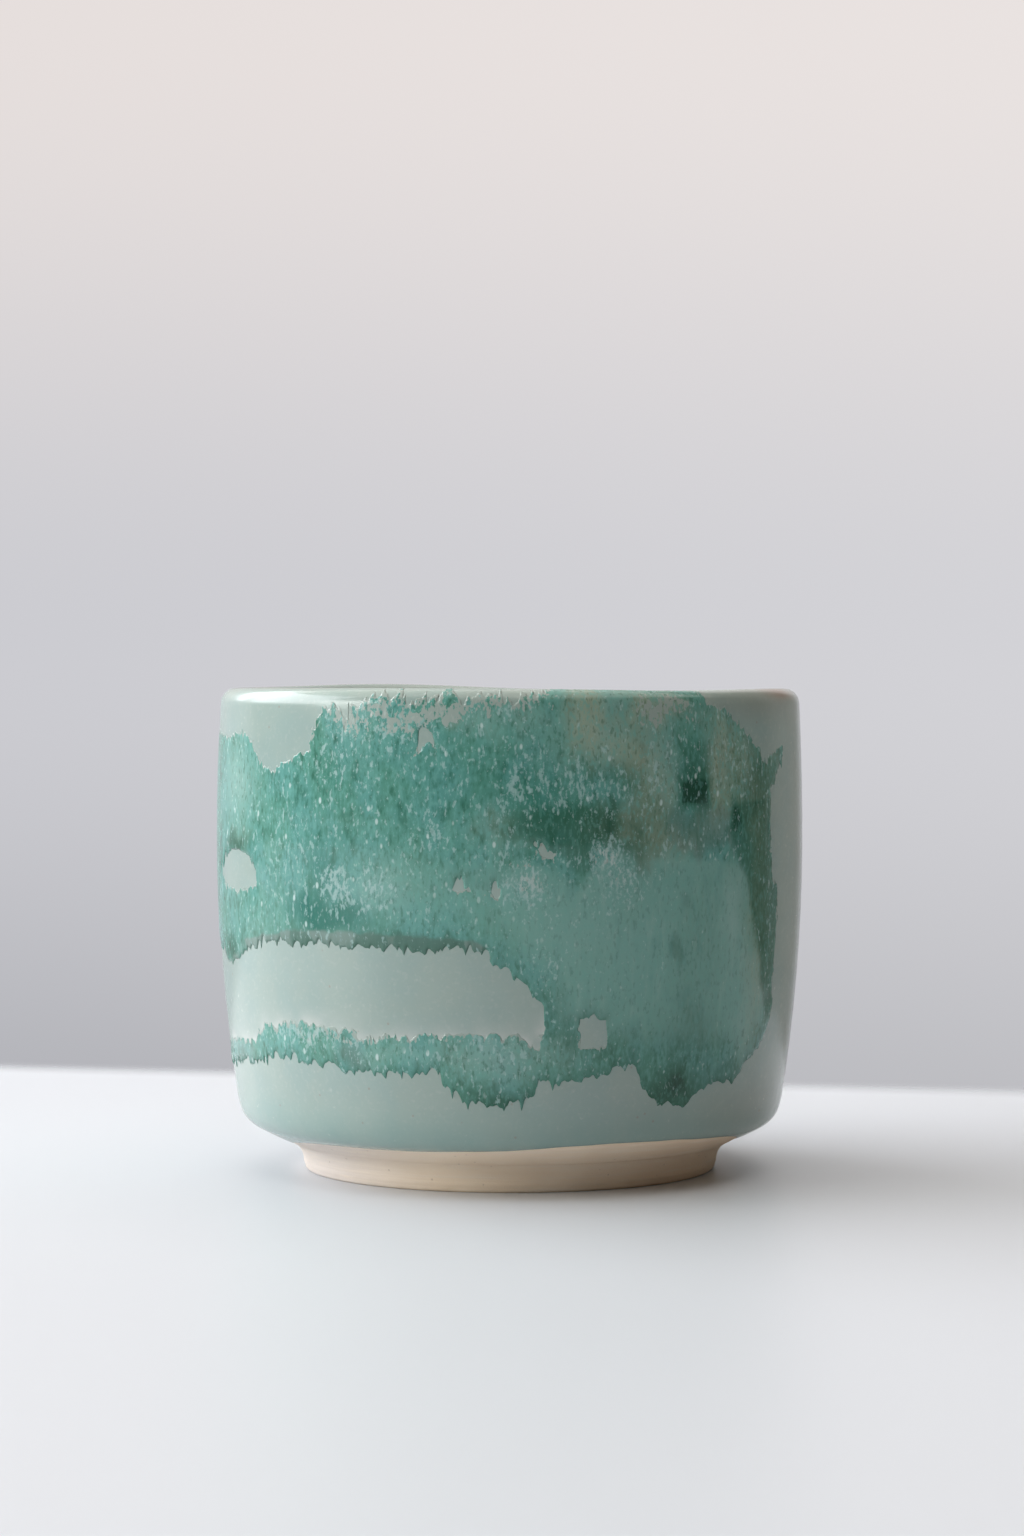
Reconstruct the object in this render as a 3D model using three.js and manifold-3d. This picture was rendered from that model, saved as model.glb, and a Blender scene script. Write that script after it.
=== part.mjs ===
// A hand-thrown tea cup without a handle. A stoneware body stands on a turned foot ring, a pale glaze covers
// it inside and out down to the glaze line, and green and turquoise glazes are poured over the outside.
// Sizes are millimetres, +Z is up, and the origin is the middle of the face that the cup stands on.
// Angles go round the cup from its front, which faces -Y, towards +X.
import * as THREE from "three";
import { mergeVertices } from "three/addons/utils/BufferGeometryUtils.js";
import Module from "manifold-3d";

const wasm = await Module();
wasm.setup();

// Clay body, before glazing
const CLAY_HEIGHT = 69.8; // table to the top of the bare lip
const LIP_RADIUS = 41.8; // outside of the wall where the lip starts to round over
const LIP_THICKNESS = 3.4;
const BELLY_RADIUS = 42.3; // widest part of the wall
const BELLY_HEIGHT = 48;
const BELLY_WALL = 4.1;
const HEEL_RADIUS = 39.5; // foot of the wall, where it turns under
const HEEL_HEIGHT = 11.3;
const HEEL_WALL = 4; // wall thickness just above the floor
const FLOOR_THICKNESS = 6;
const CORNER_RADIUS = 10; // hollow between floor and wall, inside

// Turned foot
const FOOT_RADIUS = 30.4; // where the ring meets the underside
const FOOT_HEIGHT = 3.3;
const FOOT_WIDTH = 5.2;
const FOOT_TAPER = 0.3; // each side of the ring leans in this much towards the table
const FOOT_ROUND = 0.7;

// Pale glaze
const GLAZE_LINE_INSET = 2.5; // glaze line, inwards from the heel
const GLAZE_LINE_RISE = 2.6; // glaze line, up from the top of the foot ring
const OUTER_COAT = 0.5;
const LINER_COAT = 0.45;
const COAT_EDGE = 0.15; // the outer coat thins to this at the glaze line
const LIP_LAP = 6; // how far the outer coat reaches down inside the lip

// Poured glazes
const GREEN_COAT = 0.35;
const TURQUOISE_COAT = 0.2;
const BOND = 0.08; // clearance under a poured coat
const RUN_LENGTH = 1.5; // small teeth along the lower edges
const WISP_LENGTH = 0.7; // small spikes along the upper edges
const RUN_PITCH = 3.2;
const OUTLINE_STEP = 1.6; // spacing of points along an outline

// How finely the curves are divided
const ROUND_STEPS = 48; // facets round the cup
const HEEL_STEPS = 3;
const WALL_STEPS = 3; // between heel and belly
const SHOULDER_STEPS = 2; // between belly and lip
const LIP_STEPS = 4;
const CORNER_STEPS = 3;

// Outlines of the pours on the unrolled wall: degrees round the cup, and percent of the way from heel to lip
const GREEN_FRONT = [
  [-114, 76], [-110, 89], [-92, 94], [-73, 93], [-64, 96], [-58, 90], [-51, 84], [-44, 89],
  [-41, 94], [-36, 100], [-32, 95], [-27, 99], [0, 99], [36, 100], [46, 98], [53, 94],
  [58, 87], [64, 91], [62, 82], [59, 70], [63, 48], [63, 22], [59, 14], [50, 7],
  [43, 7], [35, 3], [31, 4], [24, 13], [13, 10], [6, 9], [1, 3], [-8, 3],
  [-14, 13], [-22, 9], [-36, 11], [-48, 14], [-60, 10], [-87, 8], [-108, 10], [-106, 14],
  [-82, 14], [-62, 15], [-55, 20], [-42, 22], [-28, 20], [0, 20], [6, 22], [6, 28],
  [-3, 38], [-12, 41], [-38, 41], [-52, 42], [-62, 39], [-69, 33], [-77, 34], [-84, 39],
  [-104, 43], [-116, 58],
];
const GREEN_BACK = [
  [112, 90], [122, 97], [138, 98], [150, 93], [158, 99], [178, 100], [196, 96], [205, 89],
  [214, 97], [228, 96], [234, 84], [231, 70], [236, 56], [230, 44], [220, 34], [210, 38],
  [200, 30], [190, 14], [182, 9], [174, 20], [166, 33], [156, 27], [148, 12], [140, 5],
  [131, 10], [126, 26], [119, 40], [114, 55], [117, 70],
];
const TURQUOISE = [
  [-38, 59], [-29, 62], [5, 64], [12, 60], [17, 63], [33, 63], [48, 61], [51, 56],
  [53, 45], [58, 31], [60, 23], [56, 17], [48, 11], [37, 7], [31, 8], [25, 16],
  [20, 17], [20, 27], [11, 27], [9, 32], [3, 38], [-6, 44], [-25, 45], [-36, 46],
];
// Pale bays inside the green: middle and half sizes, in the same units
const FRONT_BAYS = [
  { middle: [-65.5, 59], half: [9, 5] },
  { middle: [15.8, 21.5], half: [2.8, 3.8] },
];
const BACK_BAYS = [{ middle: [208, 62], half: [6, 5] }];

const at = (radius, height) => new THREE.Vector2(radius, height);

// The point where a line from a towards b, carried on, meets a line from d towards c
function meet(a, b, c, d) {
  const along = b.clone().sub(a);
  const across = c.clone().sub(d);
  const share = d.clone().sub(a).cross(across) / along.cross(across);
  return a.clone().addScaledVector(along, share);
}

const bend = (from, control, to) => new THREE.QuadraticBezierCurve(from, control, to);

// One profile for everything: the clay surface from the edge of the foot ring up the outside, over the lip,
// down the inside and in to the axis
const footEdge = at(FOOT_RADIUS, FOOT_HEIGHT);
const glazeLine = at(HEEL_RADIUS - GLAZE_LINE_INSET, FOOT_HEIGHT + GLAZE_LINE_RISE);
const heel = at(HEEL_RADIUS, HEEL_HEIGHT);
const belly = at(BELLY_RADIUS, BELLY_HEIGHT);
const lipFoot = at(LIP_RADIUS, CLAY_HEIGHT - LIP_THICKNESS / 2);
const lipInside = at(LIP_RADIUS - LIP_THICKNESS, lipFoot.y);
const lapEnd = at(lipInside.x, lipInside.y - LIP_LAP);
const floorTop = FOOT_HEIGHT + FLOOR_THICKNESS;
const wallInside = at(HEEL_RADIUS - HEEL_WALL, floorTop + CORNER_RADIUS);
const floorEdge = at(wallInside.x - CORNER_RADIUS, floorTop);

const lowerSwell = at(BELLY_RADIUS, (HEEL_HEIGHT + BELLY_HEIGHT) / 2);
const upperSwell = at(BELLY_RADIUS, (BELLY_HEIGHT + lipFoot.y) / 2);
const innerBelly = at(BELLY_RADIUS - BELLY_WALL, BELLY_HEIGHT);
const upperHollow = at(innerBelly.x, (lapEnd.y + innerBelly.y) / 2);
const lowerHollow = at(innerBelly.x, (innerBelly.y + wallInside.y) / 2);
const heelTurn = meet(footEdge, glazeLine, heel, lowerSwell);
const cornerTurn = meet(lowerHollow, wallInside, floorEdge, at(0, floorTop));
const lipMiddle = at((lipFoot.x + lipInside.x) / 2, lipFoot.y);
const lipRound = LIP_THICKNESS / 2;

const outside = [
  ...bend(glazeLine, heelTurn, heel).getPoints(HEEL_STEPS),
  ...bend(heel, lowerSwell, belly).getPoints(WALL_STEPS).slice(1),
  ...bend(belly, upperSwell, lipFoot).getPoints(SHOULDER_STEPS).slice(1),
];
const lipArc = new THREE.EllipseCurve(lipMiddle.x, lipMiddle.y, lipRound, lipRound, 0, Math.PI);
const overLip = lipArc.getPoints(LIP_STEPS);
const inside = [
  ...bend(lapEnd, upperHollow, innerBelly).getPoints(SHOULDER_STEPS),
  ...bend(innerBelly, lowerHollow, wallInside).getPoints(WALL_STEPS).slice(1),
  ...bend(wallInside, cornerTurn, floorEdge).getPoints(CORNER_STEPS).slice(1),
  at(0, floorTop),
];
const claySurface = [footEdge, ...outside, ...overLip.slice(1), ...inside];
const coatStart = 1;
const coatEnd = claySurface.indexOf(inside[0]);

// The way a surface faces at one of its points, averaged over the stretches on either side
function facing(points, i) {
  const before = points[Math.max(i - 1, 0)];
  const after = points[Math.min(i + 1, points.length - 1)];
  const here = points[i];
  const normal = at(0, 0);
  for (const [from, to] of [[before, here], [here, after]]) {
    const step = to.clone().sub(from);
    if (step.length() > 0) normal.add(at(step.y, -step.x).normalize());
  }
  return normal.normalize();
}

const raised = (i, thickness) => claySurface[i].clone().addScaledVector(facing(claySurface, i), thickness);

// A closed profile turned round the cup's axis
function turned(profile) {
  return new THREE.LatheGeometry(profile, ROUND_STEPS).rotateX(Math.PI / 2);
}

function clayBody() {
  return turned([at(0, FOOT_HEIGHT), ...claySurface]);
}

function footRing() {
  const outer = FOOT_RADIUS - FOOT_TAPER;
  const inner = FOOT_RADIUS - FOOT_WIDTH + FOOT_TAPER;
  const corner = (radius, from, to) =>
    new THREE.EllipseCurve(radius, FOOT_ROUND, FOOT_ROUND, FOOT_ROUND, from, to).getPoints(2);
  const profile = [
    ...corner(inner + FOOT_ROUND, Math.PI, 1.5 * Math.PI),
    ...corner(outer - FOOT_ROUND, 1.5 * Math.PI, 2 * Math.PI),
    footEdge,
    at(FOOT_RADIUS - FOOT_WIDTH, FOOT_HEIGHT),
  ];
  return turned([...profile, profile[0]]);
}

// The outer coat's free face, from the glaze line over the lip to the end of the lap
const coatFace = [];
for (let i = coatStart; i <= coatEnd; i += 1) {
  coatFace.push(raised(i, i === coatStart ? COAT_EDGE : OUTER_COAT));
}

function outerGlaze() {
  const against = claySurface.slice(coatStart, coatEnd + 1).reverse();
  return turned([...coatFace, ...against, coatFace[0]]);
}

function linerGlaze() {
  const against = claySurface.slice(coatEnd).reverse();
  const face = [];
  for (let i = coatEnd; i < claySurface.length - 1; i += 1) face.push(raised(i, LINER_COAT));
  return turned([...against, ...face, at(0, floorTop + LINER_COAT)]);
}

// The stretch of the coat's face that pours can lie on, from the heel to the top of the lip, and how far
// along it each of its points lies
const heelAt = HEEL_STEPS;
const lipFootAt = outside.length - 1;
const lipTopAt = lipFootAt + LIP_STEPS / 2;
const pourBed = coatFace.slice(heelAt, lipTopAt + 1);
const reach = [0];
for (let i = 1; i < pourBed.length; i += 1) {
  reach.push(reach[i - 1] + pourBed[i].distanceTo(pourBed[i - 1]));
}
const wallReach = reach[lipFootAt - heelAt];
const facet = (2 * Math.PI) / ROUND_STEPS;
const facetWidth = facet * BELLY_RADIUS;

// A point of an outline in millimetres on the unrolled wall
function onWall([degrees, percent]) {
  const across = THREE.MathUtils.degToRad(degrees) * BELLY_RADIUS;
  return new THREE.Vector3(across, (wallReach * percent) / 100, 0);
}

// A smooth loop through the points, with runs hanging from its lower edges and wisps rising from its upper
// ones
function raggedLoop(corners) {
  const loop = new THREE.CatmullRomCurve3(corners, true, "centripetal");
  const points = loop.getSpacedPoints(Math.round(loop.getLength() / OUTLINE_STEP)).slice(0, -1);
  const flat = points.map((point) => at(point.x, point.y));
  const down = THREE.ShapeUtils.isClockWise(flat) ? -1 : 1;
  return flat.map((point, i) => {
    const next = flat[(i + 1) % flat.length];
    const last = flat[(i + flat.length - 1) % flat.length];
    const level = (down * (next.x - last.x)) / next.distanceTo(last);
    const phase = (Math.PI * point.x) / RUN_PITCH;
    const wave = 0.5 + 0.3 * Math.sin(2 * phase) + 0.2 * Math.sin(0.74 * phase + 1);
    const length = level > 0 ? -RUN_LENGTH * level : -WISP_LENGTH * level;
    return at(point.x, point.y + length * wave);
  });
}

// A bay's outline, an ellipse on the unrolled wall
function bayCorners({ middle, half }) {
  const corners = [];
  for (let turn = 0; turn < 8; turn += 1) {
    const angle = (turn * Math.PI) / 4;
    corners.push(onWall([middle[0] + half[0] * Math.cos(angle), middle[1] + half[1] * Math.sin(angle)]));
  }
  return corners;
}

// A closed geometry as a solid that keeps each of its faces through a cut
function solidOf(geometry) {
  geometry.deleteAttribute("normal");
  geometry.deleteAttribute("uv");
  const merged = mergeVertices(geometry, 1e-4);
  const triVerts = Uint32Array.from(merged.index.array);
  const faceID = Uint32Array.from({ length: triVerts.length / 3 }, (_, i) => i);
  const vertProperties = merged.getAttribute("position").array;
  return new wasm.Manifold(new wasm.Mesh({ numProp: 3, vertProperties, triVerts, faceID }));
}

// A flat plate over the unrolled wall, ruled along the wall's facets so that it can be folded round them
function ruledPlate(firstFacet, lastFacet, thickness) {
  const columns = lastFacet - firstFacet;
  const rows = reach.length - 1;
  const plate = new THREE.BoxGeometry(columns, rows, thickness, columns, rows, 1);
  plate.translate(firstFacet + columns / 2, rows / 2, thickness / 2);
  const place = plate.getAttribute("position");
  for (let i = 0; i < place.count; i += 1) {
    place.setXY(i, Math.round(place.getX(i)) * facetWidth, reach[Math.round(place.getY(i))]);
  }
  return solidOf(plate);
}

// The place on the cup of a point on the unrolled wall that stands off the pale coat
function folded(across, along, standOff) {
  const row = Math.min(Math.max(reach.findIndex((length) => length >= along), 1), reach.length - 1);
  const share = (along - reach[row - 1]) / (reach[row] - reach[row - 1]);
  const spot = pourBed[row - 1].clone().lerp(pourBed[row], share);
  const low = facing(coatFace, heelAt + row - 1);
  const high = facing(coatFace, heelAt + row);
  spot.addScaledVector(low.lerp(high, share), standOff);
  const angle = across / BELLY_RADIUS;
  const fromMiddle = THREE.MathUtils.euclideanModulo(angle, facet) - facet / 2;
  const radius = (spot.x * Math.cos(facet / 2)) / Math.cos(fromMiddle);
  return new THREE.Vector3(radius * Math.sin(angle), -radius * Math.cos(angle), spot.y);
}

// A poured coat: a ruled plate is cut to the outline and folded round the wall
function pour(outline, bays, standOff, thickness) {
  const loop = raggedLoop(outline.map(onWall));
  const shape = new THREE.Shape(loop);
  shape.holes = bays.map((bay) => new THREE.Path(raggedLoop(bayCorners(bay))));
  const cutter = new THREE.ExtrudeGeometry(shape, { depth: 3 * thickness, bevelEnabled: false });
  cutter.translate(0, 0, -thickness);
  const sides = new THREE.Box2().setFromPoints(loop);
  const firstFacet = Math.floor(sides.min.x / facetWidth);
  const lastFacet = Math.ceil(sides.max.x / facetWidth);
  const cut = ruledPlate(firstFacet, lastFacet, thickness).intersect(solidOf(cutter)).getMesh();
  const places = [];
  for (let i = 0; i < cut.numVert; i += 1) {
    const [across, along, depth] = cut.vertProperties.subarray(i * cut.numProp, i * cut.numProp + 3);
    places.push(folded(across, along, standOff + depth));
  }
  const coat = new THREE.BufferGeometry().setFromPoints(places);
  coat.setIndex(new THREE.BufferAttribute(cut.triVerts, 1));
  coat.computeVertexNormals();
  return coat;
}

const greenFace = BOND + GREEN_COAT;

const bareClay = { color: 0xc9b5a0, roughness: 0.85, metalness: 0 };
const paleGlaze = { color: 0xb7c3bc, roughness: 0.3, metalness: 0 };
const greenGlaze = { color: 0x4f8a78, roughness: 0.25, metalness: 0 };
const turquoiseGlaze = { color: 0x7ba79d, roughness: 0.28, metalness: 0 };

const cup = new THREE.Group();
cup.name = "tea_cup";

function add(name, geometry, finish) {
  const piece = new THREE.Mesh(geometry, new THREE.MeshStandardMaterial(finish));
  piece.name = name;
  cup.add(piece);
}

add("clay_body", clayBody(), bareClay);
add("foot_ring", footRing(), bareClay);
add("outer_glaze", outerGlaze(), paleGlaze);
add("liner_glaze", linerGlaze(), paleGlaze);
add("green_pour_front", pour(GREEN_FRONT, FRONT_BAYS, BOND, GREEN_COAT), greenGlaze);
add("green_pour_back", pour(GREEN_BACK, BACK_BAYS, BOND, GREEN_COAT), greenGlaze);
add("turquoise_pour", pour(TURQUOISE, [], greenFace + BOND, TURQUOISE_COAT), turquoiseGlaze);

export default cup;
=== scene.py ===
# %% [markdown]
# # A tea cup with poured glazes
# The real cup is thrown on a wheel in pale stoneware, dipped in a grey-green glaze down to a line above
# its foot, and has a green and a turquoise glaze poured over the outside before firing. Such a cup
# could be one lathed mesh with a painted picture of the glaze. Here every coat is a thin body of its
# own, because poured glaze has real edges: it beads where it stopped running and shows its thickness.
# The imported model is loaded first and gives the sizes; all the new pieces are made in its frame, in
# metres.

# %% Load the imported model
import math

import bmesh
import bpy
import numpy as np
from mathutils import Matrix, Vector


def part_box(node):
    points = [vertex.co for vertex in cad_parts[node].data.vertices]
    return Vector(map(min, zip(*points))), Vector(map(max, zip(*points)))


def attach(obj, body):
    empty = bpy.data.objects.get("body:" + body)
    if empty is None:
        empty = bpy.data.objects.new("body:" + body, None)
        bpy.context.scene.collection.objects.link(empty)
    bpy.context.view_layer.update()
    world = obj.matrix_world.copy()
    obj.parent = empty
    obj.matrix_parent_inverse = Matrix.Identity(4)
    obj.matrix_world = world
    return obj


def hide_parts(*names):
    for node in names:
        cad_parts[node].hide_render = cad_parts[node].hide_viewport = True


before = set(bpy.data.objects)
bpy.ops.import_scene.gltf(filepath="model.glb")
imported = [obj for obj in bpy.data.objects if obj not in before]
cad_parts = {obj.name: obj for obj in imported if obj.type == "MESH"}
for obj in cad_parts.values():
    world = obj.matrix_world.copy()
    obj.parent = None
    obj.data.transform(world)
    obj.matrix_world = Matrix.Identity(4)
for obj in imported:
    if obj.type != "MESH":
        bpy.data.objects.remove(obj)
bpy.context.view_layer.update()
MM = 0.001
print("nodes", sorted(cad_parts))

# %% [markdown]
# ## The camera
# The photograph looks almost level at the cup, from just above its rim, so the rim is a thin line and
# the foot a shallow curve. The curve of the foot gives the distance: a nearer camera would bend it
# more. The camera is set from five values read off the picture, and the same values later carry
# outlines from the picture onto the wall.

# %% Camera
IMAGE_WIDTH = 1024
IMAGE_HEIGHT = 1536
HORIZON_ROW = 680
AXIS_COLUMN = 510
FOCAL_PIXELS = 3743
VIEW_DISTANCE = 550.0
VIEW_HEIGHT = 71.5
SENSOR = 36.0

view_pitch = math.atan((IMAGE_HEIGHT / 2 - HORIZON_ROW) / FOCAL_PIXELS)
camera = bpy.data.objects.new("camera", bpy.data.cameras.new("camera"))
camera.data.sensor_width = SENSOR
camera.data.lens = SENSOR * FOCAL_PIXELS / IMAGE_HEIGHT
camera.data.shift_x = (IMAGE_WIDTH / 2 - AXIS_COLUMN) / IMAGE_HEIGHT
camera.location = (0, -VIEW_DISTANCE * MM, VIEW_HEIGHT * MM)
camera.rotation_euler = (math.pi / 2 - view_pitch, 0, 0)
bpy.context.scene.collection.objects.link(camera)
bpy.context.scene.camera = camera
bpy.context.scene.view_settings.view_transform = "Standard"
print("lens %.1f mm, looking down %.2f degrees" % (camera.data.lens, math.degrees(view_pitch)))

# %% [markdown]
# ## Node wires
# Shaders and geometry trees are graphs, and long graphs are hard to read when every link is a line of
# code. One small class wraps a socket, so that sums and products of sockets are written as plain
# arithmetic. Every other kind of node comes from its one method, which sets the node up and then plugs
# its inputs.

# %% A class for node sockets
class Wire:
    """A node socket that can be used in arithmetic."""

    def __init__(self, tree, socket=None):
        self.tree = tree
        self.socket = socket

    def make(self, kind, settings=None, links=None, out=0):
        """Adds a node, sets it up, fills or links its sockets and returns one of its outputs."""
        node = self.tree.nodes.new(kind)
        for name, value in (settings or {}).items():
            setattr(node, name, value)
        for key, value in (links or {}).items():
            socket = self.find(node.inputs, key)
            if isinstance(value, Wire):
                self.tree.links.new(value.socket, socket)
            else:
                socket.default_value = value
        return Wire(self.tree, self.find(node.outputs, out))

    @staticmethod
    def find(sockets, key):
        """The socket at a position, or the first one in use with that name or identifier."""
        if isinstance(key, int):
            return sockets[key]
        return next(s for s in sockets if s.enabled and key in (s.name, s.identifier))

    def math(self, operation, *values):
        """A Math node with these values as its inputs."""
        return self.make("ShaderNodeMath", {"operation": operation}, dict(enumerate(values)))

    def __add__(self, other):
        return self.math("ADD", self, other)

    def __sub__(self, other):
        return self.math("SUBTRACT", self, other)

    def __rsub__(self, other):
        return self.math("SUBTRACT", other, self)

    def __mul__(self, other):
        return self.math("MULTIPLY", self, other)

    def __truediv__(self, other):
        return self.math("DIVIDE", self, other)

    __radd__ = __add__
    __rmul__ = __mul__


print("wires add, subtract, multiply and divide")

# %% [markdown]
# ## The profile
# A thrown pot is one line turned round an axis, so the whole cup follows a single profile: up the
# outside from the foot, over the lip, down the inside and across the floor. The line is drawn with a
# few Bezier curves and an arc, as a potter's template would be, at the model's own sizes. Sizes are in
# millimetres and become metres when a mesh is made.

# %% Sizes and the clay profile
clay_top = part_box("clay_body")[1]
foot_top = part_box("foot_ring")[1]
BELLY_RADIUS = clay_top[0] / MM
CLAY_HEIGHT = clay_top[2] / MM
FOOT_RADIUS = foot_top[0] / MM
FOOT_HEIGHT = foot_top[2] / MM
BELLY_HEIGHT = 48.0
LIP_RADIUS = 41.8
LIP_ROUND = 1.7
LIP_LAP = 6.0
HEEL = (39.5, 11.3)
BEVEL_TOP = (37.2, 6.8)
WALL_INSIDE = 38.2
FLOOR_HEIGHT = 9.3
CORNER = (35.5, 19.3)
FLOOR_RADIUS = 25.5
FINE = 0.15


def line(start, end, step=FINE):
    """Points along a straight stretch, without its last one."""
    count = max(1, int(math.dist(start, end) / step))
    share = np.arange(count)[:, None] / count
    return (1 - share) * np.array(start) + share * np.array(end)


def bend(start, pull, end, step=FINE):
    """Points along a quadratic Bezier curve, without its last one."""
    count = max(2, int((math.dist(start, pull) + math.dist(pull, end)) / step))
    share = np.arange(count)[:, None] / count
    near_start = (1 - share) ** 2 * np.array(start)
    near_pull = 2 * share * (1 - share) * np.array(pull)
    return near_start + near_pull + share**2 * np.array(end)


def arc(middle, radius, first, last, step=FINE):
    """Points along a circular arc between two angles in degrees, without its last one."""
    count = max(3, int(abs(math.radians(last - first)) * radius / step))
    turn = np.radians(first + (last - first) * np.arange(count) / count)
    return np.stack([middle[0] + radius * np.cos(turn), middle[1] + radius * np.sin(turn)], axis=1)


def meet(a, b, c, d):
    """Where a line through a and b meets a line through c and d."""
    matrix = np.array([[b[0] - a[0], c[0] - d[0]], [b[1] - a[1], c[1] - d[1]]])
    share = np.linalg.solve(matrix, np.array([c[0] - a[0], c[1] - a[1]]))[0]
    return (a[0] + share * (b[0] - a[0]), a[1] + share * (b[1] - a[1]))


foot_edge = (FOOT_RADIUS, FOOT_HEIGHT)
belly = (BELLY_RADIUS, BELLY_HEIGHT)
lip_foot = (LIP_RADIUS, CLAY_HEIGHT - LIP_ROUND)
lip_middle = (LIP_RADIUS - LIP_ROUND, lip_foot[1])
lip_inside = (LIP_RADIUS - 2 * LIP_ROUND, lip_foot[1])
lap_end = (lip_inside[0], lip_inside[1] - LIP_LAP)
inner_belly = (WALL_INSIDE, BELLY_HEIGHT)
lower_swell = (BELLY_RADIUS, (HEEL[1] + BELLY_HEIGHT) / 2)
lower_hollow = (WALL_INSIDE, (CORNER[1] + BELLY_HEIGHT) / 2)
heel_turn = meet(foot_edge, BEVEL_TOP, HEEL, lower_swell)
corner_turn = meet(lower_hollow, CORNER, (0, FLOOR_HEIGHT), (FLOOR_RADIUS, FLOOR_HEIGHT))

outside = np.concatenate([
    line(foot_edge, BEVEL_TOP),
    bend(BEVEL_TOP, heel_turn, HEEL),
    bend(HEEL, lower_swell, belly),
    bend(belly, (BELLY_RADIUS, (BELLY_HEIGHT + lip_foot[1]) / 2), lip_foot),
    arc(lip_middle, LIP_ROUND, 0, 180),
    line(lip_inside, lap_end),
    np.array([lap_end]),
])
inside = np.concatenate([
    bend(lap_end, (WALL_INSIDE, (lap_end[1] + BELLY_HEIGHT) / 2), inner_belly),
    bend(inner_belly, lower_hollow, CORNER),
    bend(CORNER, corner_turn, (FLOOR_RADIUS, FLOOR_HEIGHT)),
    line((FLOOR_RADIUS, FLOOR_HEIGHT), (0, FLOOR_HEIGHT)),
    np.array([(0, FLOOR_HEIGHT)]),
])
print("profile of", len(outside) + len(inside), "points")

# %% [markdown]
# ## Along and off the profile
# The coats lie on the clay, so each one needs to know the way along the profile, and which way the
# surface faces there. Two tables, distance and normal, turn the line into a ruler: any coat is then a
# range on that ruler and a height above it.

# %% A ruler along the outside
def facing(points):
    """Unit normals of a profile, to the right of the way along it."""
    ahead = np.gradient(points, axis=0)
    normal = np.stack([ahead[:, 1], -ahead[:, 0]], axis=1)
    return normal / np.linalg.norm(normal, axis=1)[:, None]


def lengths(points):
    """How far along a profile each of its points lies."""
    return np.concatenate([[0], np.cumsum(np.linalg.norm(np.diff(points, axis=0), axis=1))])


out_normal = facing(outside)
out_way = lengths(outside)
lip_top = int(np.argmax(outside[:, 1]))
way_of_lip_top = out_way[lip_top]


def way_at(height):
    """Distance along the outside at a height below the lip."""
    return np.interp(height, outside[:lip_top, 1], out_way[:lip_top])


def lifted(way, depth):
    """Radius and height of places along the outside, raised off the clay."""
    spots = []
    for axis in (0, 1):
        place = np.interp(way, out_way, outside[:, axis])
        normal = np.interp(way, out_way, out_normal[:, axis])
        spots.append(place + depth * normal)
    return spots


print("outside runs %.1f mm, lip top at %.1f mm" % (out_way[-1], way_of_lip_top))

# %% [markdown]
# ## The hand of the potter
# A cup made by hand isn't a perfect solid of revolution. Its rim dips and rises by a few tenths of a
# millimetre, the wall is slightly oval, and faint rings are left by the fingers. The same small
# displacement is applied to every piece, so the coats stay seated on the clay.

# %% Hand-made unevenness
OVAL = 0.08
RING_DEPTH = 0.008
RING_PITCH = 4.7
RING_WANDER = 1.3
RINGS_END = (58, 66)
UNEVEN_ABOVE = (8, 16)
UNEVEN_BEYOND = (5, 12)
WAVE_ABOVE = (45, 70)
ROUNDING = range(-9, 10, 3)
RIM_WAVE = [
    (-172, 0.24), (-160, 0.5), (-148, 0.7), (-134, 0.42), (-118, 0.2), (-90, 0.05), (-45, 0.1),
    (-25, 0.15), (0, 0.0), (20, -0.15), (31, -0.32), (45, -0.28), (60, -0.05), (80, 0.0), (105, -0.05),
    (121, -0.15), (140, -0.4), (149, -0.53), (161, -0.3), (180, -0.15),
]


def ease(value, low, high):
    """A smooth step from 0 at low to 1 at high."""
    share = np.clip((value - low) / (high - low), 0, 1)
    return share * share * (3 - 2 * share)


def round_table(degrees, table):
    """Smooth values between the entries of a table of (degrees, value), all the way round."""
    angles, values = zip(*table)
    shifted = [np.interp(degrees + shift, angles, values, period=360) for shift in ROUNDING]
    return np.mean(shifted, axis=0)


def settle(radius, turn, height):
    """Places in metres for cylindrical coordinates in millimetres, with the hand-made unevenness."""
    rings = RING_DEPTH * np.sin(2 * np.pi * height / RING_PITCH + RING_WANDER * np.sin(turn))
    swell = -OVAL * np.cos(2 * turn) * height / CLAY_HEIGHT
    body = ease(height, *UNEVEN_ABOVE) * ease(radius, *UNEVEN_BEYOND)
    wide = radius + body * (rings * (1 - ease(height, *RINGS_END)) + swell)
    tall = height + ease(height, *WAVE_ABOVE) * round_table(np.degrees(turn), RIM_WAVE)
    return np.stack([wide * np.sin(turn), -wide * np.cos(turn), tall], axis=-1) * MM


print("rim wave from %.2f to %.2f mm" % (min(w for _, w in RIM_WAVE), max(w for _, w in RIM_WAVE)))

# %% [markdown]
# ## Turning the clay
# The clay body, the foot and the glaze inside are true turned shapes, so one geometry tree makes all
# three. It takes a profile drawn as a chain of edges, lays a grid with one row for each point, and
# rolls the grid into a tube: the row picks the radius and height, and the column picks the angle. A
# Screw modifier would also revolve a line, but in a tree the turning lines of the tool can be added on
# the way. They fade out towards the axis, where the points of all the columns meet and are merged.

# %% The turning tree
FULL_TURN = 2 * math.pi
LINES_FULL_AT = 0.005
MERGE_DISTANCE = 2e-6


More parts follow.
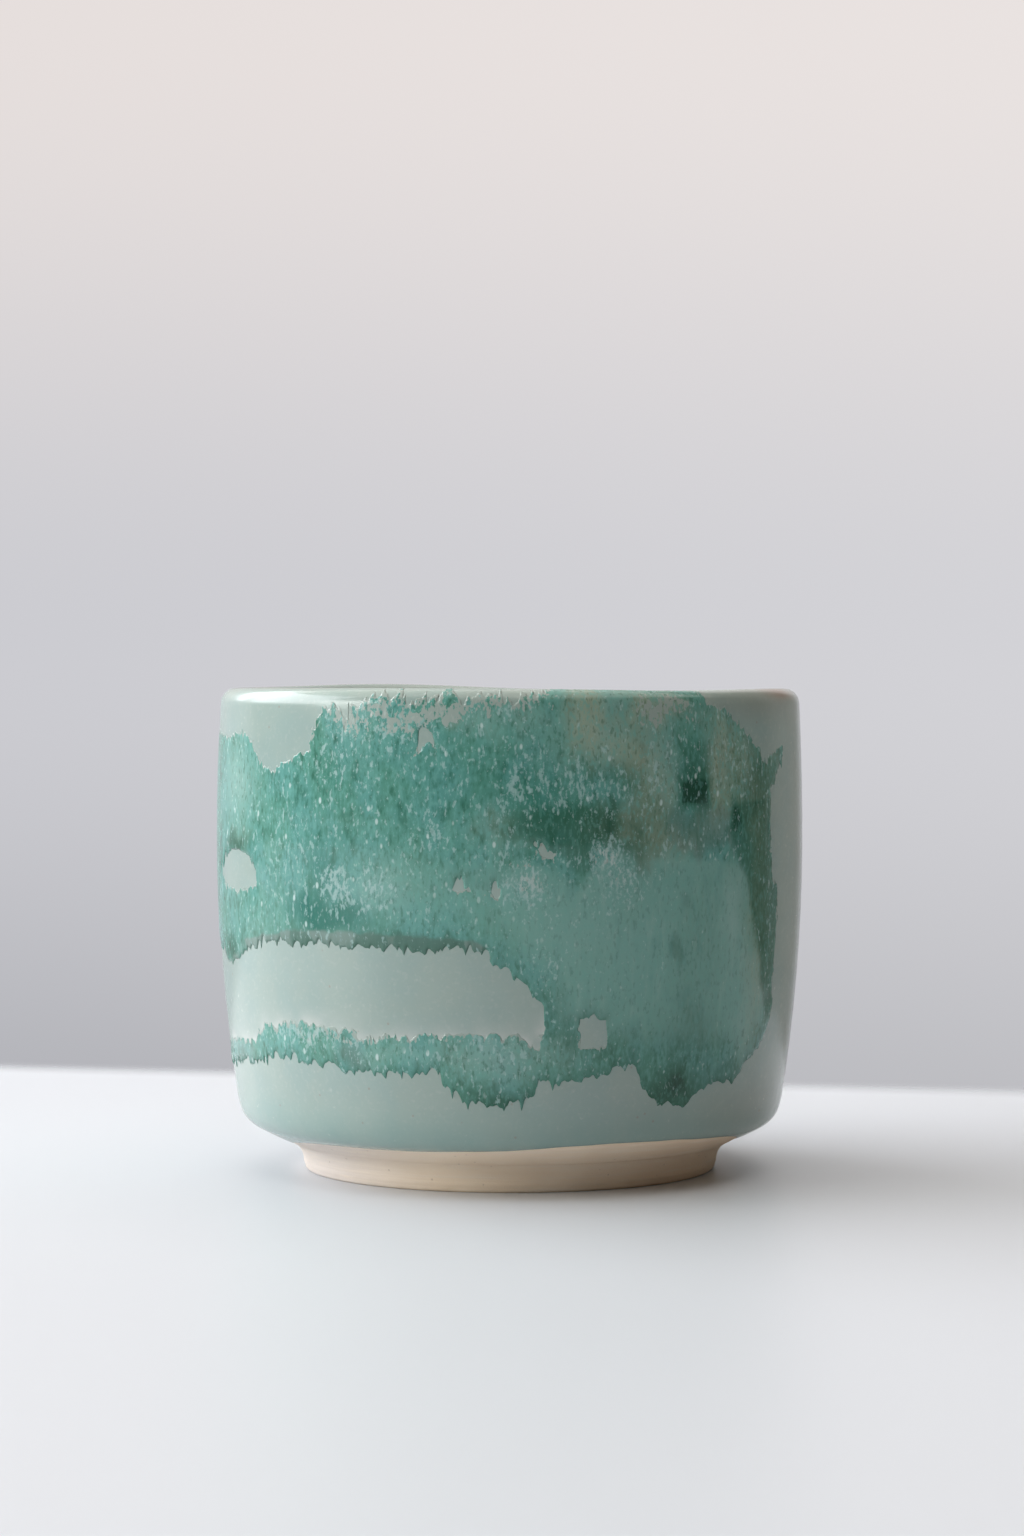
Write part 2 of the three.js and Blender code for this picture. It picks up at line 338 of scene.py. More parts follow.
def turning_tree():
    """A geometry tree that revolves a chain of edges and cuts fine turning lines into it."""
    tree = bpy.data.node_groups.new("turned_on_the_wheel", "GeometryNodeTree")
    kinds = {
        "Profile": "Geometry", "Rows": "Int", "Sides": "Int",
        "Line depth": "Float", "Line pitch": "Float", "Finish": "Material",
    }
    sockets = {}
    for name, kind in kinds.items():
        sockets[name] = tree.interface.new_socket(name, in_out="INPUT", socket_type="NodeSocket" + kind)
    tree.interface.new_socket("Pot", in_out="OUTPUT", socket_type="NodeSocketGeometry")
    start = tree.nodes.new("NodeGroupInput")
    given = {name: Wire(tree, start.outputs[name]) for name in sockets}
    wire = Wire(tree)

    grid = wire.make("GeometryNodeMeshGrid", links={
        "Size X": given["Rows"] - 1, "Size Y": given["Sides"],
        "Vertices X": given["Rows"], "Vertices Y": given["Sides"] + 1,
    })
    place = wire.make("GeometryNodeInputPosition")
    row = wire.make("ShaderNodeSeparateXYZ", links={0: place}, out="X") + (given["Rows"] - 1) / 2
    column = wire.make("ShaderNodeSeparateXYZ", links={0: place}, out="Y")
    turn = column / given["Sides"] * FULL_TURN
    spot = wire.make("GeometryNodeSampleIndex", {"data_type": "FLOAT_VECTOR", "domain": "POINT"}, {
        "Geometry": given["Profile"], "Value": place, "Index": row.math("ROUND", row),
    })
    radius = wire.make("ShaderNodeSeparateXYZ", links={0: spot}, out="X")
    height = wire.make("ShaderNodeSeparateXYZ", links={0: spot}, out="Z")
    spiral = (height + radius) / given["Line pitch"] * FULL_TURN + turn
    cut = spiral.math("SINE", spiral) * given["Line depth"]
    wide = radius + cut * radius.math("MINIMUM", radius * (1 / LINES_FULL_AT), 1.0)
    rolled = wire.make("ShaderNodeCombineXYZ", links={
        "X": wide * turn.math("SINE", turn), "Y": wide * turn.math("COSINE", turn) * -1, "Z": height,
    })
    pot = wire.make("GeometryNodeSetPosition", links={"Geometry": grid, "Position": rolled})
    pot = wire.make("GeometryNodeMergeByDistance", links={"Geometry": pot, "Distance": MERGE_DISTANCE})
    pot = wire.make("GeometryNodeRealizeInstances", links={"Geometry": pot})
    pot = wire.make("GeometryNodeSetMaterial", links={"Geometry": pot, "Material": given["Finish"]})
    end = tree.nodes.new("NodeGroupOutput")
    tree.links.new(pot.socket, end.inputs["Pot"])
    return tree, {name: socket.identifier for name, socket in sockets.items()}


turned_on_the_wheel, turning_inputs = turning_tree()
print("turning tree with", len(turned_on_the_wheel.nodes), "nodes")

# %% [markdown]
# A modifier's result is only on show while the modifier lives. Each pot is therefore evaluated once,
# copied to a plain mesh, and moved by the hand-made unevenness, point by point.

# %% Turn a profile into a plain mesh
POT_SIDES = 240


def show(name, mesh, node):
    """Links a finished mesh as a piece of the cup."""
    piece = bpy.data.objects.new(name, mesh)
    bpy.context.scene.collection.objects.link(piece)
    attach(piece, "root")
    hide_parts(node)


def evaluated_mesh(mesh, tree, inputs):
    """The mesh that a geometry tree makes of another mesh, with no modifier left on it."""
    holder = bpy.data.objects.new("holder", mesh)
    bpy.context.scene.collection.objects.link(holder)
    modifier = holder.modifiers.new("tree", "NODES")
    modifier.node_group = tree
    for identifier, value in inputs.items():
        modifier[identifier] = value
    evaluated = holder.evaluated_get(bpy.context.evaluated_depsgraph_get())
    result = bpy.data.meshes.new_from_object(evaluated)
    bpy.data.objects.remove(holder)
    return result


def turn_pot(name, profile, lines, finish):
    """Revolves a profile, with turning lines of a depth and pitch, into a closed mesh."""
    chain = bpy.data.meshes.new(name + "_profile")
    spots = [(r * MM, 0, z * MM) for r, z in profile]
    chain.from_pydata(spots, [(i, i + 1) for i in range(len(spots) - 1)], [])
    values = {
        "Rows": len(spots), "Sides": POT_SIDES,
        "Line depth": lines[0] * MM, "Line pitch": lines[1] * MM, "Finish": finish,
    }
    inputs = {turning_inputs[key]: value for key, value in values.items()}
    mesh = evaluated_mesh(chain, turned_on_the_wheel, inputs)
    mesh.name = name
    places = np.empty(len(mesh.vertices) * 3, np.float32)
    mesh.vertices.foreach_get("co", places)
    x, y, z = places.reshape(-1, 3).T / MM
    settled = settle(np.hypot(x, y), np.arctan2(x, -y), z)
    mesh.vertices.foreach_set("co", settled.astype(np.float32).ravel())
    work = bmesh.new()
    work.from_mesh(mesh)
    bmesh.ops.recalc_face_normals(work, faces=work.faces)
    work.to_mesh(mesh)
    work.free()
    mesh.polygons.foreach_set("use_smooth", np.ones(len(mesh.polygons), bool))
    mesh.update()
    print(name, len(mesh.polygons), "faces")
    return mesh


print("pots are turned with", POT_SIDES, "sides")

# %% [markdown]
# ## Finishes: shared helpers
# Everything on this cup is mottled, so nearly every mask starts as noise. The noise is read in the
# object's own coordinates, turned into millimetres so that a grain of 0.3 reads as 0.3 mm, and can be
# stretched to give streaks that run down the wall.

# %% Shader helpers
NOISE_ROUGHNESS = 0.55


class Finish:
    """A material with a Principled shader, and short ways to the nodes that its masks need."""

    def __init__(self, name):
        self.material = bpy.data.materials.new(name)
        self.material.use_nodes = True
        self.tree = self.material.node_tree
        self.shader = self.tree.nodes["Principled BSDF"]
        self.wire = Wire(self.tree)
        place = self.wire.make("ShaderNodeTexCoord", out="Object")
        links = {0: place, "Scale": 1 / MM}
        self.place = self.wire.make("ShaderNodeVectorMath", {"operation": "SCALE"}, links)

    def stretched(self, amounts):
        """The place in millimetres, multiplied axis by axis."""
        links = {0: self.place, 1: amounts}
        return self.wire.make("ShaderNodeVectorMath", {"operation": "MULTIPLY"}, links)

    def noise(self, size, stretch=(1, 1, 1), detail=2.0):
        """Smooth noise about 0.5 with features of that many millimetres."""
        links = {
            "Vector": self.stretched(stretch), "Scale": 1 / size,
            "Detail": detail, "Roughness": NOISE_ROUGHNESS,
        }
        return self.wire.make("ShaderNodeTexNoise", links=links, out="Fac")

    def cells(self, size, stretch=(1, 1, 1)):
        """Distance to the nearest of random points that lie about that many millimetres apart."""
        links = {"Vector": self.stretched(stretch), "Scale": 1 / size, "Randomness": 1.0}
        return self.wire.make("ShaderNodeTexVoronoi", links=links, out="Distance")

    def value(self, name):
        """A value stored on the mesh."""
        return self.wire.make("ShaderNodeAttribute", {"attribute_name": name}, out="Fac")

    def smooth(self, value, low, high):
        """0 below low, 1 above high and a smooth step between them."""
        links = {"Value": value, "From Min": low, "From Max": high}
        return self.wire.make("ShaderNodeMapRange", {"interpolation_type": "SMOOTHSTEP"}, links)

    def tint(self, mask, under, over):
        """One colour over another, as far as the mask says."""
        links = {"Factor": mask, "A": under, "B": over}
        return self.wire.make("ShaderNodeMix", {"data_type": "RGBA"}, links, out="Result")

    def along(self, axis):
        """Millimetres along an axis of the cup."""
        return self.wire.make("ShaderNodeSeparateXYZ", links={0: self.place}, out=axis)

    def plug(self, name, value):
        """Sets or links one input of the shader."""
        socket = self.shader.inputs[name]
        if isinstance(value, Wire):
            self.tree.links.new(value.socket, socket)
        else:
            socket.default_value = value

    def relief(self, height, strength, depth):
        """Bumps of that many millimetres where the height is 1."""
        links = {"Height": height, "Strength": strength, "Distance": depth * MM}
        self.plug("Normal", self.wire.make("ShaderNodeBump", links=links))

    def surface(self, shader):
        """Puts a mixed shader on the surface in place of the Principled one."""
        self.tree.links.new(shader.socket, self.tree.nodes["Material Output"].inputs["Surface"])


def rgb(red, green, blue):
    """A linear colour with full alpha."""
    return (red, green, blue, 1.0)


print("finishes read millimetres")

# %% [markdown]
# ## Bare clay
# The foot is unglazed stoneware: warm, matt and a little sandy, with fine lines where the turning tool
# cut it. Its colour also carries painted shade, darker and warmer on the right, and painted light, paler
# and greyer on the left. A plain brown would look like plastic, so the colour also carries three scales:
# broad warmth, lines that follow the turning, and grains of sand.

# %% Clay finish
CLAY = rgb(0.97, 0.81, 0.63)
CLAY_TOASTED_AND_SHADED = rgb(0.86, 0.65, 0.46)
CLAY_PAINTED_LIGHT = rgb(0.74, 0.67, 0.63)
CLAY_PALE = rgb(0.94, 0.82, 0.69)
IRON_SPECK = rgb(0.30, 0.20, 0.13)
# sides of the painted shade (right) and the painted light (left), in millimetres across
PAINTED_SHADE_SIDE = (6, 28)
PAINTED_LIGHT_SIDE = (-8, -28)


def clay_finish():
    """Fired stoneware without glaze."""
    clay = Finish("bare_clay")
    broad = clay.smooth(clay.noise(9.0), 0.35, 0.7)
    lines = clay.noise(0.55, stretch=(0.05, 0.05, 1.0), detail=3.0)
    grain = clay.noise(0.22, detail=3.0)
    color = clay.tint(broad * 0.25, CLAY, CLAY_TOASTED_AND_SHADED)
    # painted shade: the clay turns darker and warmer towards the right
    color = clay.tint(clay.smooth(clay.along("X"), *PAINTED_SHADE_SIDE) * 0.7, color, CLAY_TOASTED_AND_SHADED)
    # painted light: the clay turns paler and greyer towards the left
    color = clay.tint(clay.smooth(clay.along("X"), *PAINTED_LIGHT_SIDE) * 0.85, color, CLAY_PAINTED_LIGHT)
    color = clay.tint(clay.smooth(lines, 0.45, 0.75) * 0.5, color, CLAY_PALE)
    color = clay.tint(clay.smooth(grain, 0.5, 0.75) * 0.35, color, CLAY_PALE)
    color = clay.tint(clay.smooth(clay.cells(2.2), 0.10, 0.05) * 0.3, color, IRON_SPECK)
    clay.plug("Base Color", color)
    clay.plug("Roughness", 0.62 + grain * 0.3)
    clay.plug("Specular IOR Level", 0.3)
    clay.relief(grain + lines, 0.6, 0.06)
    return clay.material


bare_clay = clay_finish()
print("finish", bare_clay.name)

# %% [markdown]
# The body runs from the underside up the outside, over the lip and down to the middle of the floor. Its
# points are close together where the clay is bare, and further apart under the glaze. The foot is its
# own ring with a rounded edge below. Its outer face flares into the bevel, as a trimming tool leaves it.

# %% Clay body and foot ring
FOOT_WIDTH = 5.2
FOOT_TAPER = 0.3
FOOT_ROUND = 0.6
FLARE_RADIUS = 32.2
FLARE_LIFT = 0.03
COARSE = 0.6
UNDERSIDE_STEP = 1.0
BARE_EVERY = 2
COVERED_EVERY = 6
BODY_LINES = (0.012, 0.55)
FOOT_LINES = (0.02, 0.5)


def thinned(points, step):
    """Every few points of a fine profile, with both its ends."""
    keep = list(range(0, len(points) - 1, step)) + [len(points) - 1]
    return points[keep]


bare_rows = int(np.searchsorted(out_way, way_at(HEEL[1])))
clay_profile = np.concatenate([
    line((0, FOOT_HEIGHT), foot_edge, UNDERSIDE_STEP),
    outside[:bare_rows:BARE_EVERY],
    thinned(outside[bare_rows:], COVERED_EVERY),
    thinned(inside, COVERED_EVERY),
])
clay_mesh = turn_pot("clay_body_thrown", clay_profile, BODY_LINES, bare_clay)
show("clay_body_thrown", clay_mesh, "clay_body")

bevel_slope = (BEVEL_TOP[1] - FOOT_HEIGHT) / (BEVEL_TOP[0] - FOOT_RADIUS)
flare_height = FOOT_HEIGHT + (FLARE_RADIUS - FOOT_RADIUS) * bevel_slope
flare_end = (FLARE_RADIUS, flare_height - FLARE_LIFT)
flare_start = (FOOT_RADIUS - FOOT_TAPER / 3, FOOT_HEIGHT / 3)
foot_outer = FOOT_RADIUS - FOOT_TAPER
foot_inner = FOOT_RADIUS - FOOT_WIDTH + FOOT_TAPER
foot_profile = np.concatenate([
    line(foot_edge, (FOOT_RADIUS - FOOT_WIDTH, FOOT_HEIGHT), COARSE),
    line((FOOT_RADIUS - FOOT_WIDTH, FOOT_HEIGHT), (foot_inner, FOOT_ROUND)),
    arc((foot_inner + FOOT_ROUND, FOOT_ROUND), FOOT_ROUND, 180, 270),
    line((foot_inner + FOOT_ROUND, 0), (foot_outer - FOOT_ROUND, 0), COARSE),
    arc((foot_outer - FOOT_ROUND, FOOT_ROUND), FOOT_ROUND, 270, 360),
    line((foot_outer, FOOT_ROUND), flare_start),
    bend(flare_start, foot_edge, flare_end),
    line(flare_end, foot_edge, COARSE),
    np.array([foot_edge]),
])
foot_mesh = turn_pot("foot_ring_turned", foot_profile, FOOT_LINES, bare_clay)
show("foot_ring_turned", foot_mesh, "foot_ring")

# %% [markdown]
# ## The unrolled wall
# The pours are easiest to think of on a flat map: millimetres around, millimetres up. Values on that
# map are random but must join at the back, so the noise repeats after one turn. It is drawn from seeded
# numbers, and the cup comes out the same every time.

# %% Noise on the unrolled wall
COAT = 0.5
WALL_RADIUS = BELLY_RADIUS + COAT
GIRTH = 2 * math.pi * WALL_RADIUS
MAPPED_HEIGHT = 90


def mottle(around, up, wide, tall, seed):
    """Smooth random values from -1 to 1, with cells of that size, that repeat after one turn."""
    columns = max(4, round(GIRTH / wide))
    rows = int(MAPPED_HEIGHT / tall) + 3
    lattice = np.random.default_rng(seed).uniform(-1, 1, (rows, columns))
    across = around / GIRTH * columns
    along = np.clip(up / tall + 1, 0, rows - 1.001)
    column = np.floor(across).astype(int)
    row = np.floor(along).astype(int)
    right = ease(across - column, 0, 1)
    above = ease(along - row, 0, 1)
    rows_around = []
    for level in (row, row + 1):
        here = lattice[level, column % columns]
        beside = lattice[level, (column + 1) % columns]
        rows_around.append(here * (1 - right) + beside * right)
    return rows_around[0] * (1 - above) + rows_around[1] * above


def ridges(around, up, wide, tall, seed):
    """Random values below 1 with sharp crests."""
    return 0.8 - 1.6 * np.abs(mottle(around, up, wide, tall, seed)) ** 0.6


print("one turn is %.1f mm" % GIRTH)

# %% [markdown]
# ## From the photograph to the wall
# The edges of the pours were read off the photograph, as pixels. Each pixel is a ray from the
# camera, and the ray meets the wall at one angle and one height, found by a few rounds of stepping
# because the radius depends on the height. What the picture doesn't show is given as degrees and
# millimetres.

# %% Carry points of the picture onto the wall
FIRST_GUESS = 40.0
ROUNDS = 12


def wall_radius(height):
    """Radius of the pale coat's face at a height."""
    return np.interp(height, outside[:lip_top, 1], outside[:lip_top, 0]) + COAT


def on_wall(pixels):
    """Millimetres around and up the wall of points of the picture."""
    spots = np.array(pixels, float)
    right = (spots[:, 0] - AXIS_COLUMN) / FOCAL_PIXELS
    rise = (IMAGE_HEIGHT / 2 - spots[:, 1]) / FOCAL_PIXELS
    ahead = math.cos(view_pitch) + rise * math.sin(view_pitch)
    climb = rise * math.cos(view_pitch) - math.sin(view_pitch)
    up = np.full(len(spots), FIRST_GUESS)
    for _ in range(ROUNDS):
        square = right**2 + ahead**2
        middle = ahead * VIEW_DISTANCE / square
        spread = middle**2 - (VIEW_DISTANCE**2 - wall_radius(up) ** 2) / square
        reach = middle - np.sqrt(np.maximum(spread, 0))
        up = VIEW_HEIGHT + reach * climb
    turn = np.arctan2(reach * right, VIEW_DISTANCE - reach * ahead)
    return np.stack([turn * WALL_RADIUS, up], axis=1)


def by_degrees(places):
    """Millimetres around and up the wall of places given in degrees and millimetres."""
    spots = np.array(places, float)
    return np.stack([np.radians(spots[:, 0]) * WALL_RADIUS, spots[:, 1]], axis=1)


middle_spot = on_wall([(AXIS_COLUMN, IMAGE_HEIGHT / 2)])[0]
print("the middle row of the picture meets the wall %.1f mm up" % middle_spot[1])

# %% [markdown]
# ## The outlines of the pours
# The green was poured in a wide sheet from the rim that stopped in a scalloped edge, and a second,
# narrower ladle left a band below a pale window. Bays are small openings in the green, and the strip
# is where it lies thin above the window. The turquoise went over the right half and slid down into two
# lobes. Only the large shape is listed here. The teeth and spikes along every edge come later, from
# noise.

# %% Outlines read from the photograph
GREEN_RISE = [
    (228, 736), (242, 727), (254, 745), (260, 757), (272, 771), (284, 762), (297, 753), (308, 750),
    (311, 728), (322, 716), (331, 708), (338, 722), (347, 729), (354, 712), (372, 706), (388, 697),
    (405, 703), (418, 698), (437, 704), (442, 691), (456, 693), (470, 702), (485, 694), (498, 696),
    (512, 706), (523, 698), (545, 693),
]
GREEN_OVER_LIP = [
    (7, 70.2), (11, 70.9), (14, 72.4), (19, 71.4), (24, 72.7), (29, 71.7), (33, 72.3), (37, 71), (40, 70),
]
GREEN_RIGHT = [
    (712, 700), (727, 708), (733, 716), (748, 727), (754, 740), (763, 757), (767, 760), (772, 750),
    (781, 743), (778, 765), (771, 790), (770, 850), (776, 890), (777, 920), (773, 965), (771, 1010),
    (766, 1028), (758, 1048), (744, 1062), (740, 1072), (733, 1080), (712, 1083), (695, 1094),
    (682, 1104), (660, 1104), (648, 1096), (641, 1078), (630, 1066), (612, 1069), (598, 1076),
    (565, 1082), (550, 1088), (539, 1079), (534, 1095), (520, 1105), (500, 1107), (480, 1103),
    (462, 1103), (450, 1093), (443, 1083), (438, 1067), (425, 1073), (407, 1076), (390, 1073),
    (360, 1073), (335, 1065), (312, 1061), (290, 1053), (262, 1061), (235, 1060),
]
BAND_END = [(-92, 15.6), (-108, 17), (-106, 19.2), (-88, 19.0)]
WINDOW_EDGE = [
    (236, 1038), (252, 1041), (262, 1028), (295, 1022), (325, 1024), (345, 1031), (365, 1038),
    (395, 1038), (440, 1037), (490, 1036), (518, 1037), (535, 1046), (540, 1033), (548, 1029),
    (543, 1008), (533, 990), (516, 984), (505, 972), (488, 962), (487, 954), (465, 948), (405, 951),
    (385, 946), (350, 945), (296, 943), (280, 938), (258, 944), (245, 948), (239, 960), (230, 961),
    (225, 946),
]
GREEN_END = [(-84, 33.5), (-104, 35.7), (-116, 44.2), (-114, 54.5), (-110, 62), (-92, 64.7)]
BAYS = [
    [(581, 1048), (580, 1030), (582, 1020), (589, 1019), (593, 1014), (598, 1018), (606, 1020),
     (608, 1048)],
    [(460, 879), (466, 888), (470, 893), (459, 890), (451, 893), (455, 886)],
    [(497, 882), (499, 890), (496, 898), (487, 896), (491, 888)],
    [(535, 845), (546, 847), (554, 852), (549, 860), (541, 856)],
    [(419, 730), (428, 728), (437, 753), (429, 743), (416, 754)],
    [(337, 698), (352, 698), (354, 712), (350, 727), (344, 733), (339, 720)],
]
OVAL_BAY = [
    (223, 868), (226, 856), (231, 850), (238, 848), (246, 853), (252, 862), (256, 873), (256, 884),
    (249, 889), (238, 890), (227, 885),
]
STRIP = [
    (246, 939), (262, 934), (300, 929), (330, 931), (370, 933), (420, 936), (470, 940), (486, 947),
    (490, 960), (440, 962), (400, 964), (300, 958), (250, 960),
]
TURQUOISE_EDGE = [
    (360, 884), (362, 868), (378, 863), (408, 857), (450, 860), (500, 858), (540, 857), (562, 867),
    (580, 879), (593, 861), (617, 848), (642, 846), (666, 853), (700, 857), (727, 858), (742, 864),
    (749, 882), (751, 925), (758, 950), (762, 980), (765, 1010), (757, 1034), (740, 1050), (715, 1060),
    (690, 1060), (660, 1058), (630, 1056), (600, 1054), (570, 1046), (556, 1030), (548, 1000),
    (530, 976), (505, 960), (485, 942), (440, 936), (400, 930), (372, 922), (362, 908),
]
BACK_BAY = [(198, 46.4), (205, 48.6), (213, 48.2), (217, 45.4), (209, 43.6), (201, 44.2)]
GREEN_BACK = [
    (112, 62.4), (122, 66.4), (138, 67), (150, 64.1), (158, 67.5), (178, 69), (196, 65.8), (205, 61.9),
    (214, 66.4), (228, 65.8), (234, 59), (231, 51), (236, 43), (230, 36.3), (220, 30.6), (210, 32.9),
    (200, 28.3), (190, 19.2), (182, 16.4), (174, 22.6), (166, 30), (156, 26.6), (148, 18.1),
    (140, 14.1), (131, 17), (126, 26), (119, 34), (114, 42.5), (117, 51),
]
green_loop = np.concatenate([
    on_wall(GREEN_RISE), by_degrees(GREEN_OVER_LIP), on_wall(GREEN_RIGHT), by_degrees(BAND_END),
    on_wall(WINDOW_EDGE), by_degrees(GREEN_END),
])
turquoise_loop = on_wall(TURQUOISE_EDGE)
back_loop = by_degrees(GREEN_BACK)
print("outline points:", len(green_loop), len(turquoise_loop), len(back_loop))

# %% [markdown]
# ## Distance to an edge
# A poured coat is thick in the middle and thins to nothing at its edge. The signed distance to the
# outline, positive inside, gives that at once: its zero line is the edge, and its value says how far in
# a place lies. It can be bent with noise before it is used, which is what makes an edge ragged.

# %% Signed distance on the wall
FAR = 1e6
NO_LENGTH = 1e-12
NO_RISE = 1e-9


def depth_inside(around, up, loop):
    """Millimetres from places on the wall to the edge of a loop, positive inside it."""
    nearest = np.full(around.shape, FAR)
    within = np.zeros(around.shape, bool)
    for (from_x, from_y), (to_x, to_y) in zip(loop, np.roll(loop, -1, axis=0)):
        run = to_x - from_x
        rise = to_y - from_y
        share = ((around - from_x) * run + (up - from_y) * rise) / (run * run + rise * rise + NO_LENGTH)
        share = np.clip(share, 0, 1)
        distance = np.hypot(around - from_x - share * run, up - from_y - share * rise)
        nearest = np.minimum(nearest, distance)
        crosses = (from_y > up) != (to_y > up)
        level = np.where(abs(rise) < NO_RISE, NO_RISE, rise)
        within ^= crosses & (around < from_x + run * (up - from_y) / level)
    return np.where(within, nearest, -nearest)


def patches(around, up, spots, sharp=1.0):
    """Sum of soft patches: middle in pixels, half width and half height in millimetres, and amount."""
    total = np.zeros(around.shape)
    middles = on_wall([spot[:2] for spot in spots])
    for spot, (middle, level) in zip(spots, middles):
        wide, tall, amount = spot[2:]
        far = ((around - middle) / wide) ** 2 + ((up - level) / tall) ** 2
        total += amount * np.exp(-(far**sharp))
    return total


def shapes(around, up, loops):
    """Sum of shaped patches: a loop of pixels, half the width of its soft edge, and amount."""
    total = np.zeros(around.shape)
    for loop, soft, amount in loops:
        total += amount * ease(depth_inside(around, up, on_wall(loop)), -soft, soft)
    return total


probe = depth_inside(np.array([0.0]), np.array([BELLY_HEIGHT]), green_loop)[0]
print("the middle of the belly lies %.1f mm inside the green" % probe)

# %% [markdown]
# ## Where the glazes pool, thin and crystallise
# Melting glaze is never one colour. It goes dark where it is thick, olive where iron bleeds through a
# thin coat, and grows pale crystals where it cools slowly. These patches were placed over the
# photograph, as an engraver marks a plate: each is a soft spot with a middle in pixels, half its width
# and half its height in millimetres, and an amount. A patch with a clear edge is a loop of pixels with
# a soft border. The last three lists are about edges: moss frays them, lace breaks them into threads,
# and where they are quiet they stay smooth.

# %% Tone patches
DEEP = [
    (602, 824, 3.4, 3.2, 0.2), (668, 1095, 6.5, 3.2, 1.0), (500, 1098, 5.0, 1.8, 1.0),
    (677, 952, 0.8, 2.0, 0.4), (683, 908, 0.8, 1.3, 0.25), (238, 842, 4.0, 1.6, 1.0),
    (234, 950, 3.4, 2.2, 0.9), (624, 774, 3.0, 2.0, 0.45), (306, 942, 3.0, 1.6, 0.9),
    (425, 948, 9.0, 1.5, 0.5), (688, 1045, 5.0, 6.0, 0.45), (560, 1025, 3.0, 4.4, 0.4),
    (730, 1075, 5.0, 2.0, 0.5), (612, 1052, 6.0, 3.4, 0.35), (694, 826, 2.0, 2.4, 0.3),
    (700, 955, 5.0, 9.0, 0.16), (753, 738, 2.5, 4.0, 0.35), (777, 752, 1.6, 4.5, 0.5),
    (762, 778, 2.5, 4.0, 0.3), (650, 824, 3.8, 5.0, 0.42), (748, 786, 3.0, 4.0, 0.22),
    (736, 815, 1.2, 2.2, 0.35), (640, 858, 3.0, 2.0, 0.25), (631, 832, 2.6, 3.6, 0.5),
    (368, 942, 2.4, 1.4, 0.5),
]
DEEP_SHAPES = [
    ([(679, 780), (709, 778), (711, 792), (709, 804), (679, 804)], 0.7, 0.36),
    ([(679, 764), (708, 762), (710, 790), (709, 805), (679, 805)], 1.0, 0.34),
    ([(681, 742), (707, 738), (710, 806), (678, 806)], 1.2, 0.58),
    ([(500, 826), (537, 806), (583, 804), (619, 802), (619, 844), (593, 848), (587, 870), (573, 870),
      (565, 858), (537, 842), (500, 834)], 1.4, 0.8),
    ([(731, 804), (752, 800), (775, 794), (771, 818), (778, 878), (777, 917), (773, 960), (770, 1010),
      (764, 1022), (760, 985), (757, 943), (751, 915), (747, 878), (735, 857), (730, 832)], 0.5, 0.72),
    ([(742, 802), (750, 762), (764, 750), (775, 758), (776, 793)], 0.6, 0.36),
]
EMERALD = [
    (342, 918, 5.0, 2.0, 1.0), (308, 912, 4.5, 2.6, 0.9), (320, 890, 2.4, 5.0, 0.5),
    (430, 790, 9.0, 7.0, 0.15), (520, 770, 8.0, 6.0, 0.2), (545, 815, 5.0, 5.0, 0.4),
    (330, 830, 8.0, 6.0, 0.15), (335, 772, 3.6, 3.0, 0.3), (325, 858, 3.6, 2.6, 0.3),
    (275, 880, 3.0, 3.0, 0.2),
]
OLIVE = [
    (586, 714, 2.8, 5.0, 0.9), (628, 748, 4.0, 3.6, 0.75), (632, 826, 3.2, 3.0, 0.8),
    (655, 800, 3.8, 6.0, 0.65), (717, 785, 2.8, 6.0, 0.7), (716, 722, 3.0, 5.0, 0.4),
    (655, 708, 6.0, 2.4, 0.9), (690, 838, 5.0, 3.0, 0.2), (660, 846, 6.0, 2.4, 0.45),
    (455, 716, 1.6, 1.6, 0.4), (744, 776, 3.4, 5.0, 0.4), (240, 838, 4.0, 1.2, 0.3),
    (500, 832, 4.0, 3.0, 0.3), (760, 890, 3.2, 20.0, 0.65), (756, 800, 3.4, 6.0, 0.3),
    (612, 822, 3.0, 3.0, 0.35), (605, 826, 4.0, 3.0, 0.35), (772, 765, 2.5, 5.0, 0.4),
    (740, 740, 3.0, 5.0, 0.35), (723, 735, 2.2, 4.0, 0.3),
]
# Bright glaze patches. The two at the far left edge, near 240 pixels across, are painted sheen: a lighter
# tone where the lit edge would reflect the window.
BRIGHT_AND_SHEEN = [
    (606, 732, 2.6, 3.4, 0.6), (560, 742, 5.0, 4.0, 0.3), (600, 692, 5.0, 0.9, 0.5),
    (515, 716, 5.0, 2.2, 0.5), (478, 726, 2.0, 1.6, 0.4), (490, 1055, 7.0, 3.0, 0.7),
    (560, 1050, 4.0, 2.0, 0.4), (660, 775, 2.4, 4.0, 0.4), (660, 745, 2.6, 3.0, 0.5),
    (736, 902, 2.4, 7.0, 0.9), (240, 783, 7.0, 5.6, 0.95), (385, 888, 5.0, 4.6, 0.4),
    (390, 1054, 7.0, 2.0, 0.45), (238, 905, 5.0, 5.0, 0.25), (742, 1035, 2.6, 4.0, 0.7),
    (590, 930, 8.0, 6.0, 0.2),
]
THIN = [(352, 1055, 2.2, 2.4, 0.7), (244, 1052, 5.0, 2.0, 0.6), (455, 714, 1.2, 2.0, 0.4)]
